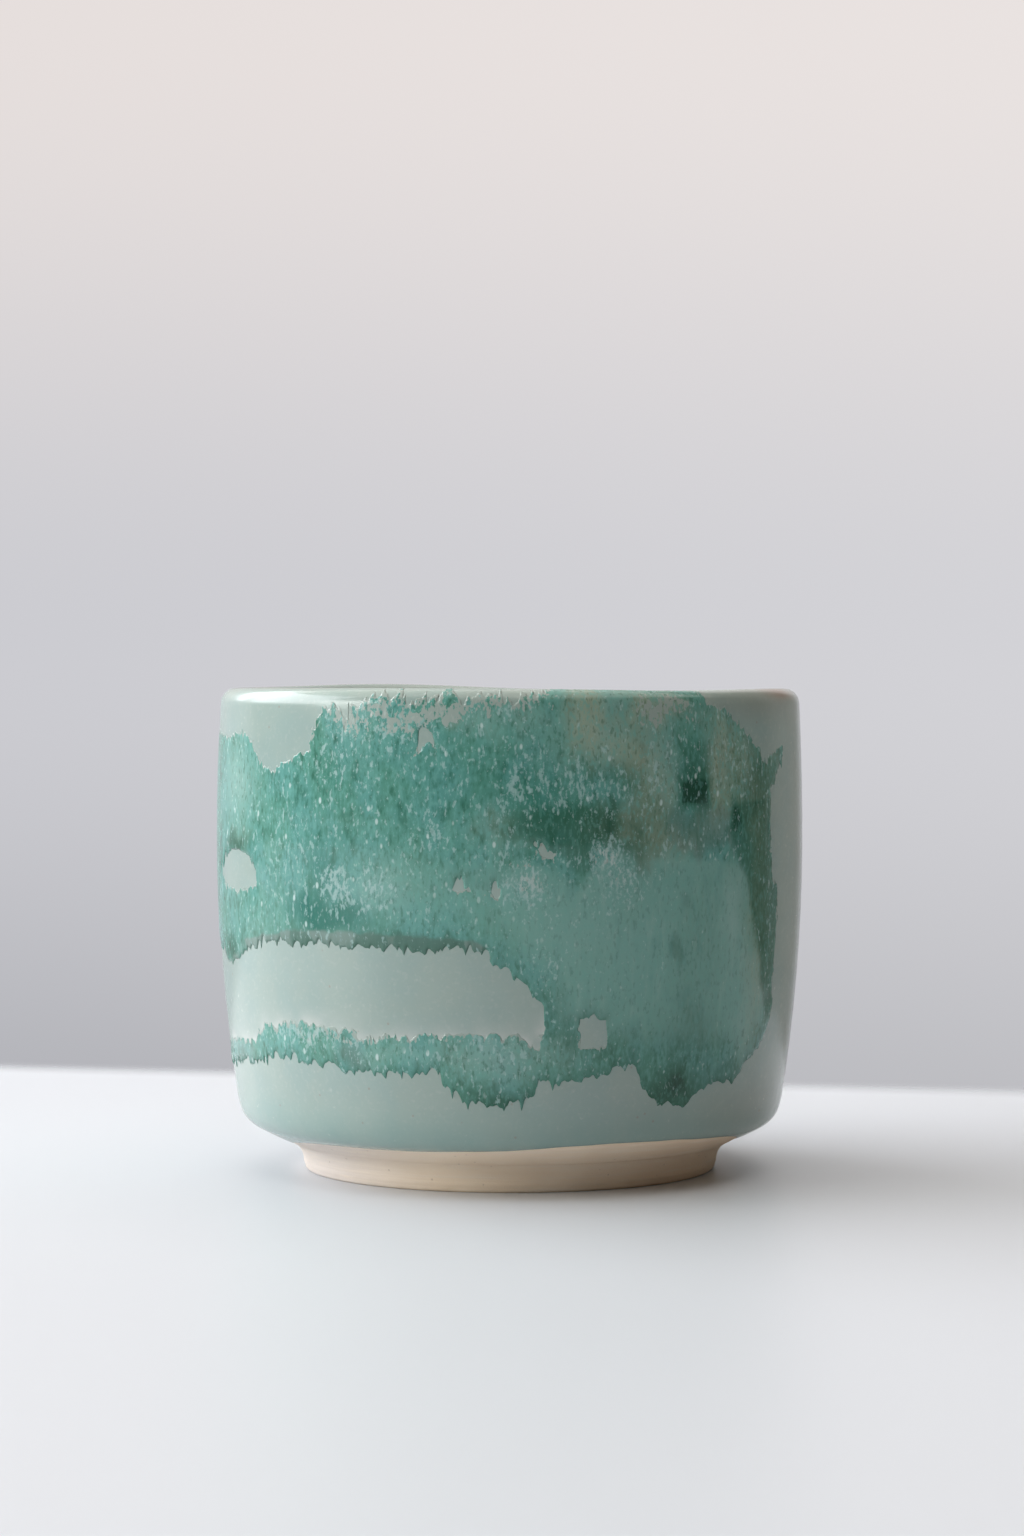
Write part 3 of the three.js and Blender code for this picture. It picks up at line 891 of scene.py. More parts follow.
FROST = [
    (525, 884, 3.4, 3.6, 1.1), (622, 880, 4.6, 3.2, 1.0), (602, 856, 2.6, 2.0, 0.9),
    (400, 724, 11.0, 3.0, 0.5), (330, 766, 6.0, 4.0, 0.35), (330, 1040, 8.0, 1.6, 0.4),
    (305, 1032, 7.0, 1.6, 0.8), (490, 1046, 8.0, 3.0, 0.45), (582, 782, 6.0, 4.0, 0.6),
    (515, 785, 3.0, 4.4, 0.6), (660, 768, 3.0, 4.0, 0.5), (735, 760, 3.0, 5.0, 0.5),
    (435, 836, 1.2, 3.4, 0.7), (410, 842, 1.0, 3.4, 0.6), (545, 962, 1.6, 3.4, 0.6),
    (290, 850, 6.0, 6.0, 0.3), (700, 960, 9.0, 11.0, -0.3), (560, 830, 4.0, 3.0, -0.4),
    (620, 740, 5.0, 3.0, -0.4), (750, 900, 4.0, 14.0, -0.4), (695, 1050, 10.0, 5.0, -0.6),
    (590, 712, 4.0, 4.0, -0.5),
]
FROST_SHAPES = [
    ([(322, 870), (332, 864), (345, 867), (352, 880), (356, 895), (350, 908), (338, 906), (328, 898),
      (321, 888)], 0.8, 0.8),
    ([(362, 866), (384, 868), (398, 880), (400, 896), (388, 910), (364, 912)], 0.6, 0.6),
]
THIN_SHAPES = [
    ([(668, 807), (709, 806), (731, 808), (736, 845), (700, 857), (672, 850), (664, 830)], 0.9, 0.5),
]
MOSS = [
    (450, 712, 13.0, 2.6, 1.5), (550, 697, 6.0, 1.6, 1.0), (690, 704, 5.0, 2.6, 0.6),
    (330, 722, 4.0, 2.6, 0.5), (380, 700, 8.0, 1.6, 1.2), (300, 1028, 10.0, 1.2, 0.9),
    (440, 1038, 14.0, 0.9, 0.45),
]
LACE = [
    (664, 705, 4.8, 2.2, 0.78), (648, 716, 1.6, 2.4, 0.36), (688, 712, 1.6, 2.0, 0.36),
    (452, 712, 1.6, 2.0, 0.3), (527, 882, 2.8, 3.4, 0.4), (630, 880, 3.8, 2.4, 0.3),
    (601, 858, 2.2, 2.2, 0.4), (400, 722, 6.0, 2.2, 0.34), (470, 704, 8.0, 2.0, 0.45),
    (400, 712, 10.0, 2.4, 0.45), (520, 702, 6.0, 1.6, 0.45), (345, 724, 3.0, 2.5, 0.4),
    (300, 1030, 9.0, 1.4, 0.4), (360, 1036, 5.0, 1.2, 0.45),
]
QUIET = [
    (690, 1088, 10.0, 4.0, 0.65), (600, 1072, 6.0, 2.0, 0.3), (762, 1000, 4.0, 14.0, 0.5),
    (593, 1028, 4.6, 5.0, 0.8), (742, 1062, 5.0, 4.0, 0.5), (240, 860, 6.0, 3.6, 0.8),
    (285, 750, 5.0, 4.0, 0.3), (238, 955, 6.0, 5.0, 0.6),
]
tone_lists = (DEEP, EMERALD, OLIVE, BRIGHT_AND_SHEEN, THIN, FROST, MOSS, LACE, QUIET)
print("tone patches:", sum(len(spots) for spots in tone_lists))

# %% [markdown]
# ## A map of the wall, and ragged edges
# The map is a grid of places, fine enough for teeth a millimetre wide. Crests in the noise pull the
# edge out into points: downwards where a run stopped, upwards where the sheet began. Finer noise breaks
# the upper edges into moss where the glaze was thin. The turquoise stays inside the green that carries
# it.

# %% Fields of the pours
CELL = 0.25
TEETH = 1.5
SPIKES = 1.1
FRAY = 0.22
LIP_REACH = 3.0
BELOW_HEEL = 1.0
COAT_RISES = (50, 80)
FRONT_DEGREES = (-122, 70)
BACK_DEGREES = (106, 242)
MOSS_SPREAD = 0.6
WASH_INSET = 0.25
WASH_MARGIN = 0.5
MOST_QUIET = 0.9
GREEN_SEED = 11
WASH_SEED = 41
BACK_SEED = 71
BACK_MOSS = 1.3
BACK_MOSS_ABOVE = (61, 66)


def wall_map(first, last):
    """A grid on the wall between two angles in degrees: columns around, rows along the profile."""
    low = way_at(HEEL[1] - BELOW_HEEL)
    high = way_of_lip_top + LIP_REACH
    columns = int(math.radians(last - first) * WALL_RADIUS / CELL)
    rows = int((high - low) / CELL)
    degrees, way = np.meshgrid(np.linspace(first, last, columns), np.linspace(low, high, rows))
    past_top = np.maximum(way - way_of_lip_top, 0)
    clay_up = np.interp(np.minimum(way, way_of_lip_top), out_way, outside[:, 1])
    up = clay_up + COAT * ease(way, *COAT_RISES) + past_top
    return {"degrees": degrees, "way": way, "around": np.radians(degrees) * WALL_RADIUS, "up": up}


def ragged(field, wall, seed, moss=0.0, quiet=0.0):
    """A field with teeth along its lower edges and spikes along its upper ones, less where quiet."""
    around, up = wall["around"], wall["up"]
    lower = ease(np.gradient(field, CELL, axis=0), -0.3, 0.4)
    teeth = 0.65 * ridges(around, up, 1.1, 14.0, seed) + 0.35 * ridges(around, up, 0.6, 9.0, seed + 1)
    spikes = 0.55 * ridges(around, up, 0.9, 5.0, seed + 2) + 0.45 * ridges(around, up, 0.5, 2.4, seed + 3)
    fray = mottle(around, up, 1.3, 1.6, seed + 4) + 0.6 * mottle(around, up, 0.6, 0.8, seed + 5)
    edge = TEETH * lower * teeth + (SPIKES + 0.8 * moss) * (1 - lower) * spikes
    return field + edge * (1 - quiet) + (FRAY + 0.4 * moss) * fray


def without(field, wall, loops):
    """A field with holes in it."""
    for loop in loops:
        field = np.minimum(field, -depth_inside(wall["around"], wall["up"], loop))
    return field


front = wall_map(*FRONT_DEGREES)
moss = patches(front["around"], front["up"], MOSS)
green_depth = depth_inside(front["around"], front["up"], green_loop)
green_depth = without(green_depth, front, [on_wall(loop) for loop in BAYS + [OVAL_BAY]])
quiet = patches(front["around"], front["up"], QUIET)
quiet = np.clip(quiet, 0, MOST_QUIET)
green_field = ragged(green_depth + MOSS_SPREAD * moss, front, GREEN_SEED, moss, quiet)
wash_depth = depth_inside(front["around"], front["up"], turquoise_loop)
wash_field = ragged(wash_depth, front, WASH_SEED) - WASH_INSET
wash_field = np.minimum(wash_field, green_field - WASH_MARGIN)

back = wall_map(*BACK_DEGREES)
back_depth = depth_inside(back["around"], back["up"], back_loop)
back_depth = without(back_depth, back, [by_degrees(BACK_BAY)])
back_moss = BACK_MOSS * ease(back["up"], *BACK_MOSS_ABOVE)
back_field = ragged(back_depth, back, BACK_SEED, back_moss)
print("front map", green_field.shape, "back map", back_field.shape)

# %% [markdown]
# ## Values carried by the mesh
# The colours are mixed in the shader, but where each one goes is known here, on the map. Each mask
# becomes a value on the mesh's points: deep, emerald, olive, bright, thin, frost, wash, pool and wisp.
# The bright mask is bright glaze, and at the lit left edge it is painted sheen.
# Pooling is worked out rather than placed: glaze gathers just above an edge that it ran down to.

# %% Masks on the map
POOL_WIDTH = 0.9
SLOPE_ROUNDS = 24
WASH_CLEARS = (15.5, 24.0)
WASH_GATHERS = (-12, 4)
WASH_TURNS = (8, 14)
FROST_EVERYWHERE = 0.35
BACK_FOOT = (30, 8)


def blurred(array, rounds):
    """An array smoothed by averaging neighbours again and again."""
    for _ in range(rounds):
        for axis in (0, 1):
            wide = np.concatenate([array.take([0], axis), array, array.take([-1], axis)], axis)
            count = wide.shape[axis]
            before = wide.take(range(count - 2), axis)
            after = wide.take(range(2, count), axis)
            array = (before + 2 * array + after) / 4
    return array


def upper_side(outline, low=-0.35, high=0.35):
    """1 below an edge that faces up, 0 above an edge that faces down, and smooth between the two."""
    return ease(-blurred(np.gradient(outline, CELL, axis=0), SLOPE_ROUNDS), low, high)


def edge_masks(field, outline, lace):
    """How far a place lies in the bead above a lower edge, and in the lace below an upper edge."""
    soft = np.maximum(field, 0)
    pool = np.exp(-soft / POOL_WIDTH) * (1 - upper_side(outline, -0.7, 0.0))
    wisp = np.exp(-soft / lace) * upper_side(outline)
    return pool, wisp


def wandering(wall, seed):
    """The map's places, pushed about so that patches get uneven edges."""
    around = wall["around"] + 0.9 * mottle(wall["around"], wall["up"], 1.8, 3.4, seed)
    up = wall["up"] + 1.4 * mottle(wall["around"], wall["up"], 1.4, 4.5, seed + 1)
    return around, up


def front_masks():
    """Values of the front pours at each place of the map."""
    around, up = wandering(front, seed=101)
    pool, wisp = edge_masks(green_field, green_depth, 0.3 + 0.9 * moss)
    flicker = mottle(front["around"], front["up"], 1.2, 2.0, seed=121)
    right = ease(front["around"], *WASH_TURNS)
    soft_above = (1.8 - 1.2 * right) * upper_side(wash_depth, 0.2, 0.8)
    soft_below = 4.5 * upper_side(-wash_depth, 0.0, 0.7)
    wash = ease(wash_depth + (0.6 - 0.3 * right) * flicker, -0.3, 0.4 + soft_above + soft_below)
    wash = wash * (0.35 + 0.65 * ease(front["up"], *WASH_CLEARS))
    wash = wash * (0.4 + 0.6 * ease(front["around"], *WASH_GATHERS))
    strip = depth_inside(front["around"], front["up"], on_wall(STRIP))
    near = front["around"] + 0.3 * flicker
    deep = patches(around, up, DEEP, 1.6) + shapes(near, front["up"], DEEP_SHAPES)
    thin = ease(strip + 0.25 * flicker, -0.15, 0.3) + patches(around, up, THIN, 1.5)
    thin = thin + shapes(around, up, THIN_SHAPES)
    frost = FROST_EVERYWHERE + patches(around, up, FROST) + shapes(near, front["up"], FROST_SHAPES)
    return {
        "deep": np.clip(deep, 0, 1.2),
        "emerald": np.clip(patches(around, up, EMERALD), 0, 1),
        "olive": np.clip(patches(around, up, OLIVE, 1.4), 0, 1),
        "bright_and_sheen": np.clip(patches(around, up, BRIGHT_AND_SHEEN), 0, 1),
        "thin": np.clip(thin, 0, 1),
        "frost": np.clip(frost, 0, 1.5),
        "wash": wash,
        "pool": pool,
        "wisp": np.maximum(wisp, patches(around, up, LACE)),
    }


def back_masks():
    """The same values for the back, where nothing is seen and everything comes from noise."""
    around, up = back["around"], back["up"]
    pool, wisp = edge_masks(back_field, back_depth, 0.3 + 1.2 * back_moss)
    broad = mottle(around, up, 11.0, 9.0, seed=201)
    top, fade = BACK_FOOT
    return {
        "deep": 0.8 * ease(broad, 0.15, 0.7) + 0.5 * ease(top - up, 0, fade),
        "emerald": 0.7 * ease(mottle(around, up, 10.0, 8.0, seed=215), 0.1, 0.6),
        "olive": 0.5 * ease(mottle(around, up, 9.0, 7.0, seed=203), 0.25, 0.7),
        "bright_and_sheen": 0.7 * ease(mottle(around, up, 8.0, 8.0, seed=205), 0.1, 0.7),
        "thin": 0.6 * ease(mottle(around, up, 6.0, 5.0, seed=207), 0.5, 0.9),
        "frost": FROST_EVERYWHERE + 0.8 * ease(mottle(around, up, 8.0, 6.0, seed=209), 0.0, 0.8),
        "wash": 0.8 * ease(mottle(around, up, 16.0, 14.0, seed=211), 0.15, 0.3),
        "pool": pool,
        "wisp": wisp,
    }


front_values = front_masks()
back_values = back_masks()
print("values on the mesh:", ", ".join(front_values))

# %% [markdown]
# ## Cutting a coat out of the map
# Cells on the edge are cut where the field is zero, so the outline is smooth between grid points, a
# method known as marching squares. Far from any edge four cells share one face, which saves much of the
# mesh. The same polygons, turned round, close the body against the coat below, and a narrow wall joins
# the two.

# %% Marching squares
CALM = 1.4


def trace(field):
    """Cuts a field at zero: points as pairs of grid points with a share, faces, and the rim."""
    inside_field = field > 0
    flat = np.arange(field.size).reshape(field.shape)
    number = np.full(field.shape, -1)
    number[inside_field] = np.arange(inside_field.sum())
    ends = [(flat[inside_field], flat[inside_field])]
    cuts = []
    total = int(inside_field.sum())
    for axis in (1, 0):
        near = np.delete(flat, -1, axis=axis)
        far = np.delete(flat, 0, axis=axis)
        crossed = inside_field.flat[near] != inside_field.flat[far]
        cut = np.full(near.shape, -1)
        cut[crossed] = total + np.arange(crossed.sum())
        total += int(crossed.sum())
        ends.append((near[crossed], far[crossed]))
        cuts.append(cut)
    first = np.concatenate([pair[0] for pair in ends])
    second = np.concatenate([pair[1] for pair in ends])
    drop = field.flat[first] - field.flat[second]
    share = np.where(first == second, 0, field.flat[first] / np.where(drop == 0, 1, drop))
    calm = calm_blocks(field)
    faces, rim = edge_faces(inside_field, number, *cuts, calm)
    faces += calm_faces(number, calm)
    return used_points(first, second, share, faces, rim)


def calm_blocks(field):
    """Blocks of two by two cells that lie so far inside that one face will do."""
    rows, columns = [(size - 1) // 2 for size in field.shape]
    calm = np.ones((rows, columns), bool)
    for r in range(3):
        for c in range(3):
            calm &= field[r:r + 2 * rows - 1:2, c:c + 2 * columns - 1:2] > CALM
    return calm


def calm_faces(number, calm):
    """One face for each calm block, with the points that finer neighbours need along its sides."""
    faces = []
    ringed = np.pad(calm, 1)
    for r, c in zip(*np.nonzero(calm)):
        low, left = 2 * r, 2 * c
        face = [number[low, left]]
        for beside, middle, corner in (
            (ringed[r, c + 1], (low, left + 1), (low, left + 2)),
            (ringed[r + 1, c + 2], (low + 1, left + 2), (low + 2, left + 2)),
            (ringed[r + 2, c + 1], (low + 2, left + 1), (low + 2, left)),
            (ringed[r + 1, c], (low + 1, left), None),
        ):
            if not beside:
                face.append(number[middle])
            if corner:
                face.append(number[corner])
        faces.append([int(point) for point in face])
    return faces


def edge_faces(inside_field, number, across, along, calm):
    """Polygons of the fine cells, cut at the rim, and the edges of the rim itself."""
    lower = inside_field[:-1, :-1] | inside_field[:-1, 1:]
    upper = inside_field[1:, 1:] | inside_field[1:, :-1]
    busy = lower | upper
    busy[:2 * calm.shape[0], :2 * calm.shape[1]] &= ~np.repeat(np.repeat(calm, 2, axis=0), 2, axis=1)
    faces = []
    rim = []
    for r, c in zip(*np.nonzero(busy)):
        points = (number[r, c], number[r, c + 1], number[r + 1, c + 1], number[r + 1, c])
        cuts = (across[r, c], along[r, c + 1], across[r + 1, c], along[r, c])
        face = []
        entries = []
        for point, cut in zip(points, cuts):
            if point >= 0:
                face.append(int(point))
            if cut >= 0:
                if point < 0:
                    entries.append(len(face))
                face.append(int(cut))
        rim += [(face[place - 1], face[place]) for place in entries]
        faces.append(face)
    return faces, rim


def used_points(first, second, share, faces, rim):
    """Drops the points that no face needs."""
    used = np.unique(np.concatenate([np.array(face) for face in faces]))
    place = np.full(len(first), -1)
    place[used] = np.arange(len(used))
    faces = [place[face].tolist() for face in faces]
    rim = [(int(place[start]), int(place[end])) for start, end in rim]
    return first[used], second[used], share[used], faces, rim


test_field = 2.0 - np.hypot(*np.meshgrid(np.arange(-3, 4), np.arange(-3, 4)))
print("a small disc is cut into", len(trace(test_field)[3]), "faces")

# %% [markdown]
# ## Raising a coat
# The cut map is laid on the pale coat and raised along its normal. The height follows the field: a hair
# at the edge, rising fast above lower edges and slowly below upper ones, with a bead where a run
# stopped. The points below sink a little into the coat they melted into, so no light shows under an
# edge.

# %% Build a poured coat
SINK = 0.03
EDGE_LIFT = 0.006
LOWER_RISE = 0.6
UPPER_RISE = 3.0
BEAD_RISE = 0.3
UV_MARGIN = 0.01
SHOWN_BAND = (0.04, 0.95)
HIDDEN_BAND = (0.005, 0.02)


def coat_height(field, outline, full, bead, pool):
    """How far a poured coat stands off the wall, with a bead along its lower edges."""
    soft = np.maximum(field, 0)
    spread = LOWER_RISE + UPPER_RISE * upper_side(outline)
    return full * (1 - np.exp(-soft / spread)) + bead * pool * (1 - np.exp(-soft / BEAD_RISE))


def sample(array, cut):
    """Values of the map at the points of a cut."""
    first, second, share = cut[:3]
    return (1 - share) * array.flat[first] + share * array.flat[second]


def store(mesh, key, values):
    """Puts a value on each of a mesh's points."""
    layer = mesh.attributes.new(key, "FLOAT", "POINT")
    layer.data.foreach_set("value", values.astype(np.float32).ravel())


def poured_mesh(name, wall, field, bed, height, values, finish, lift=EDGE_LIFT):
    """A closed body over the part of the map where the field is positive."""
    cut = trace(field)
    faces, rim = cut[3], cut[4]
    degrees = np.radians(sample(wall["degrees"], cut))
    way = sample(wall["way"], cut)
    floor = COAT + sample(bed, cut)
    top = lifted(way, floor + lift + sample(height, cut))
    low = lifted(way, floor - SINK)
    places = np.concatenate([settle(top[0], degrees, top[1]), settle(low[0], degrees, low[1])])
    count = len(way)
    under = [[point + count for point in reversed(face)] for face in faces]
    sides = [[end, start, start + count, end + count] for start, end in rim]
    mesh = bpy.data.meshes.new(name)
    mesh.from_pydata(places.tolist(), [], faces + under + sides)
    flags = np.concatenate([np.ones(2 * len(faces), bool), np.zeros(len(sides), bool)])
    mesh.polygons.foreach_set("use_smooth", flags)
    for key, array in values.items():
        store(mesh, key, np.tile(sample(array, cut), 2))
    lay_flat(mesh, sample(wall["around"], cut), way)
    mesh.materials.append(finish)
    mesh.update()
    print(name, len(faces), "outer faces")
    return mesh


def lay_flat(mesh, around, way):
    """A UV map that is the unrolled wall, with the hidden faces in a strip below it."""
    across = (around - around.min()) / np.ptp(around) * (1 - 2 * UV_MARGIN) + UV_MARGIN
    along = (way - way.min()) / np.ptp(way)
    bands = [np.stack([across, low + tall * along], axis=1) for low, tall in (SHOWN_BAND, HIDDEN_BAND)]
    corner = np.empty(len(mesh.loops), np.int32)
    mesh.loops.foreach_get("vertex_index", corner)
    layer = mesh.uv_layers.new(name="OFBake")
    layer.data.foreach_set("uv", np.concatenate(bands)[corner].astype(np.float32).ravel())


print("coats stand %.3f mm proud at their thinnest" % EDGE_LIFT)

# %% [markdown]
# ## The poured glazes' finish
# One recipe serves both pours, because on the pot they run into each other. It starts from the green,
# lays the carried masks over it one by one, and breaks each with noise: streaks that run down the wall,
# short dashes, and pale flecks that gather where frost is high. Small crystals lie in the lighter
# clouds. The flecks are rougher than the glass round them.

# %% Poured glaze finish
GREEN = rgb(0.103, 0.296, 0.232)
TEAL = rgb(0.120, 0.334, 0.298)
GREEN_LIGHT = rgb(0.158, 0.402, 0.350)
DEEP_GREEN = rgb(0.026, 0.118, 0.072)
TURQUOISE = rgb(0.290, 0.475, 0.428)
WASH = rgb(0.195, 0.405, 0.352)
OLIVE_GREY = rgb(0.355, 0.405, 0.300)
THIN_GREY = rgb(0.200, 0.280, 0.255)
THIN_DARK = rgb(0.090, 0.180, 0.148)
FLECK = rgb(0.360, 0.530, 0.520)
FROST_WHITE = rgb(0.470, 0.560, 0.530)
CRYSTAL = rgb(0.600, 0.740, 0.720)
EMERALD_GREEN = rgb(0.002, 0.148, 0.110)
DARKEST_GREEN = rgb(0.012, 0.060, 0.038)
PALE = rgb(0.340, 0.415, 0.380)


def poured_finish(name):
    """Green glaze with deep, olive, turquoise and crystalline passages."""
    glaze = Finish(name)
    broad = glaze.noise(6.0, stretch=(1.0, 1.0, 0.6))
    cloud = glaze.noise(1.7, stretch=(1.0, 1.0, 0.45))
    streak = glaze.noise(0.9, stretch=(1.0, 1.0, 0.2), detail=3.0)
    dash = glaze.noise(0.48, stretch=(1.0, 1.0, 0.45), detail=2.0)
    spots = glaze.noise(0.56, stretch=(1.0, 1.0, 0.5), detail=3.0)
    dust = glaze.noise(0.34, stretch=(1.0, 1.0, 0.75), detail=1.5)
    lace = glaze.noise(0.52, stretch=(1.0, 1.0, 0.6), detail=3.0)
    frost = glaze.value("frost")
    wash = glaze.value("wash")
    emerald = glaze.value("emerald")
    deep = glaze.value("deep")
    share = spots + frost * 0.13 + cloud * 0.2 - wash * 0.05 + emerald * 0.03
    fleck = glaze.smooth(share, 0.725, 0.845)
    crystal = glaze.smooth(glaze.cells(1.9, stretch=(1.0, 1.0, 0.55)), 0.17, 0.09)
    crystal = crystal * glaze.smooth(cloud, 0.44, 0.56)
    mist = glaze.smooth(dust + frost * 0.18 + broad * 0.06, 0.76, 0.85)
    calm = (1 - wash * 0.45) * (1 - emerald * 0.8) * (1 - deep * 0.4)

    color = glaze.tint(glaze.smooth(broad, 0.38, 0.62), GREEN, TEAL)
    color = glaze.tint(glaze.smooth(cloud, 0.5, 0.72) * 0.5, color, GREEN_LIGHT)
    color = glaze.tint(glaze.smooth(cloud, 0.46, 0.28) * 0.6, color, DEEP_GREEN)
    color = glaze.tint(emerald * (0.75 + cloud * 0.4), color, EMERALD_GREEN)
    color = glaze.tint(wash * (0.62 + streak * 0.4), color, WASH)
    color = glaze.tint(wash * glaze.smooth(streak, 0.52, 0.72) * 0.25, color, TURQUOISE)
    color = glaze.tint(wash * glaze.smooth(cloud, 0.46, 0.30) * 0.3, color, TEAL)
    # bright glaze patches, partly painted sheen on the lit left edge
    color = glaze.tint(glaze.value("bright_and_sheen") * (0.4 + dash * 0.8), color, TURQUOISE)
    color = glaze.tint(glaze.value("olive") * (0.45 + streak * 0.7), color, OLIVE_GREY)
    color = glaze.tint(deep * (0.6 + streak * 0.5), color, DEEP_GREEN)
    color = glaze.tint(glaze.smooth(deep, 0.95, 1.15) * 0.8, color, DARKEST_GREEN)
    color = glaze.tint(glaze.smooth(dash, 0.5, 0.66) * calm * 0.55, color, GREEN_LIGHT)
    color = glaze.tint(glaze.smooth(dash, 0.46, 0.30) * calm * 0.45, color, DEEP_GREEN)
    thin = glaze.tint(glaze.smooth(broad + streak * 0.5 + deep * 0.45, 0.68, 0.88), THIN_GREY, THIN_DARK)
    color = glaze.tint(glaze.value("thin") * 0.9, color, thin)
    color = glaze.tint(glaze.value("pool") * 0.5, color, DEEP_GREEN)
    color = glaze.tint(mist * (0.15 + dash * 0.6), color, FLECK)
    color = glaze.tint(fleck * (0.2 + dash * 0.8), color, FLECK)
    color = glaze.tint(fleck * glaze.smooth(frost, 1.1, 1.5) * 0.7, color, FROST_WHITE)
    color = glaze.tint(crystal * (1 - wash * 0.7) * glaze.smooth(frost, 0.1, 0.4) * 0.75, color, CRYSTAL)
    threads = glaze.value("wisp") * 0.8 + lace * 1.7 - 0.85
    color = glaze.tint(glaze.smooth(threads, 0.45, 0.54), color, PALE)
    glaze.plug("Base Color", color)
    glaze.plug("Roughness", 0.12 + fleck * 0.25 + dash * 0.06)
    glaze.plug("Specular IOR Level", 0.4)
    glaze.plug("Coat Weight", 0.06)
    glaze.plug("Coat Roughness", 0.08)
    glaze.relief(spots * 0.5 + streak * 0.5, 0.25, 0.04)
    return glaze.material


green_glaze = poured_finish("green_glaze")
turquoise_glaze = poured_finish("turquoise_glaze")
print("finishes", green_glaze.name, turquoise_glaze.name)

# %% [markdown]
# The green front is the part that everyone sees. The turquoise is raised on top of it, so it needs to
# know how thick the green is under each of its points. Its edge starts just below the green's face, so
# that the two melt into each other without a step.

# %% Green and turquoise pours
GREEN_FULL = 0.12
GREEN_BEAD = 0.09
TURQUOISE_FULL = 0.03
TURQUOISE_BEAD = 0.03
MELT = -0.012

bare_front = np.zeros(green_field.shape)
green_height = coat_height(green_field, green_depth, GREEN_FULL, GREEN_BEAD, front_values["pool"])
front_mesh = poured_mesh("green_pour_front_run", front, green_field, bare_front, green_height,
                         front_values, green_glaze)
show("green_pour_front_run", front_mesh, "green_pour_front")

wash_height = coat_height(wash_field, wash_depth, TURQUOISE_FULL, TURQUOISE_BEAD, front_values["pool"])
wash_mesh = poured_mesh("turquoise_pour_run", front, wash_field, green_height, wash_height,
                        front_values, turquoise_glaze, MELT)
show("turquoise_pour_run", wash_mesh, "turquoise_pour")

bare_back = np.zeros(back_field.shape)
back_height = coat_height(back_field, back_depth, GREEN_FULL, GREEN_BEAD, back_values["pool"])
back_mesh = poured_mesh("green_pour_back_run", back, back_field, bare_back, back_height,
                        back_values, green_glaze)
show("green_pour_back_run", back_mesh, "green_pour_back")

# %% [markdown]
# ## The pale glaze
# The grey-green glaze covers the cup inside and out. It is a thin glass over pale clay: even, glossy, a
# little cloudy, with a bluer cast in its clouds and a warm break where it thins over the rim.

# %% Pale glaze finish
CELADON = rgb(0.337, 0.428, 0.390)
CELADON_BLUE = rgb(0.302, 0.411, 0.386)
CELADON_WHITE = rgb(0.560, 0.600, 0.570)
CELADON_DEEP = rgb(0.250, 0.385, 0.350)
PEACH = rgb(0.310, 0.215, 0.155)


def pale_finish(name):
    """Grey-green celadon glaze."""
    glaze = Finish(name)
    cloud = glaze.noise(7.0, detail=3.0)
    grain = glaze.noise(0.7, detail=3.0)
    pits = glaze.smooth(glaze.cells(3.6), 0.07, 0.035)
    color = glaze.tint(glaze.smooth(cloud, 0.35, 0.7) * 0.8, CELADON, CELADON_BLUE)
    color = glaze.tint(glaze.smooth(grain, 0.5, 0.75) * 0.16, color, CELADON_WHITE)
    color = glaze.tint(glaze.value("thick") * (0.3 + cloud * 0.6), color, CELADON_DEEP)
    color = glaze.tint(glaze.value("halo"), color, CELADON_WHITE)
    color = glaze.tint(glaze.value("warm") * (0.5 + cloud * 0.8), color, PEACH)
    color = glaze.tint(pits * 0.35, color, PEACH)
    glaze.plug("Base Color", color)
    glaze.plug("Roughness", 0.20 + grain * 0.10)
    glaze.plug("Specular IOR Level", 0.5)
    glaze.plug("Coat Weight", 0.35)
    glaze.plug("Coat Roughness", 0.12)
    glaze.relief(cloud * 0.7 + grain * 0.3 - pits * 0.6, 0.25, 0.06)
    return glaze.material


pale_glaze = pale_finish("pale_glaze")
print("finish", pale_glaze.name)

# %% [markdown]
# Three values ride on the pale coat's points: a halo along the upper edge of the lower band, where the
# two glazes drew apart, a warm break where the coat thins over the rim and blushes below it, and a
# deeper tone low on the wall, where the glaze ran together before it was dry.

# %% Values of the pale coat
HALO_LEVELS = (19.0, 20.5, 24.5, 27.5)
HALO_WIDTH = 1.1
HALO_UNDER = 1.5
HALO_SPAN = (-45, 55)
RIM_SPAN = (-2.8, -1.4, 0.0, 1.6)
RIM_SPOT = (68, 10)
BLUSH_SPOT = (60, 18)
BLUSH_BELOW_LIP = (6.5, 2.0)
BLUSH_LEVEL = (11, 4)
THICK_LEVELS = (7.0, 15.0)


def between(value, rise_from, rise_to, fall_from, fall_to):
    """1 in the middle of a range, easing to 0 at both its ends."""
    return ease(value, rise_from, rise_to) * ease(-value, -fall_to, -fall_from)


def bump(value, middle, width):
    """1 at the middle, falling smoothly to both sides."""
    return np.exp(-((value - middle) / width) ** 2)


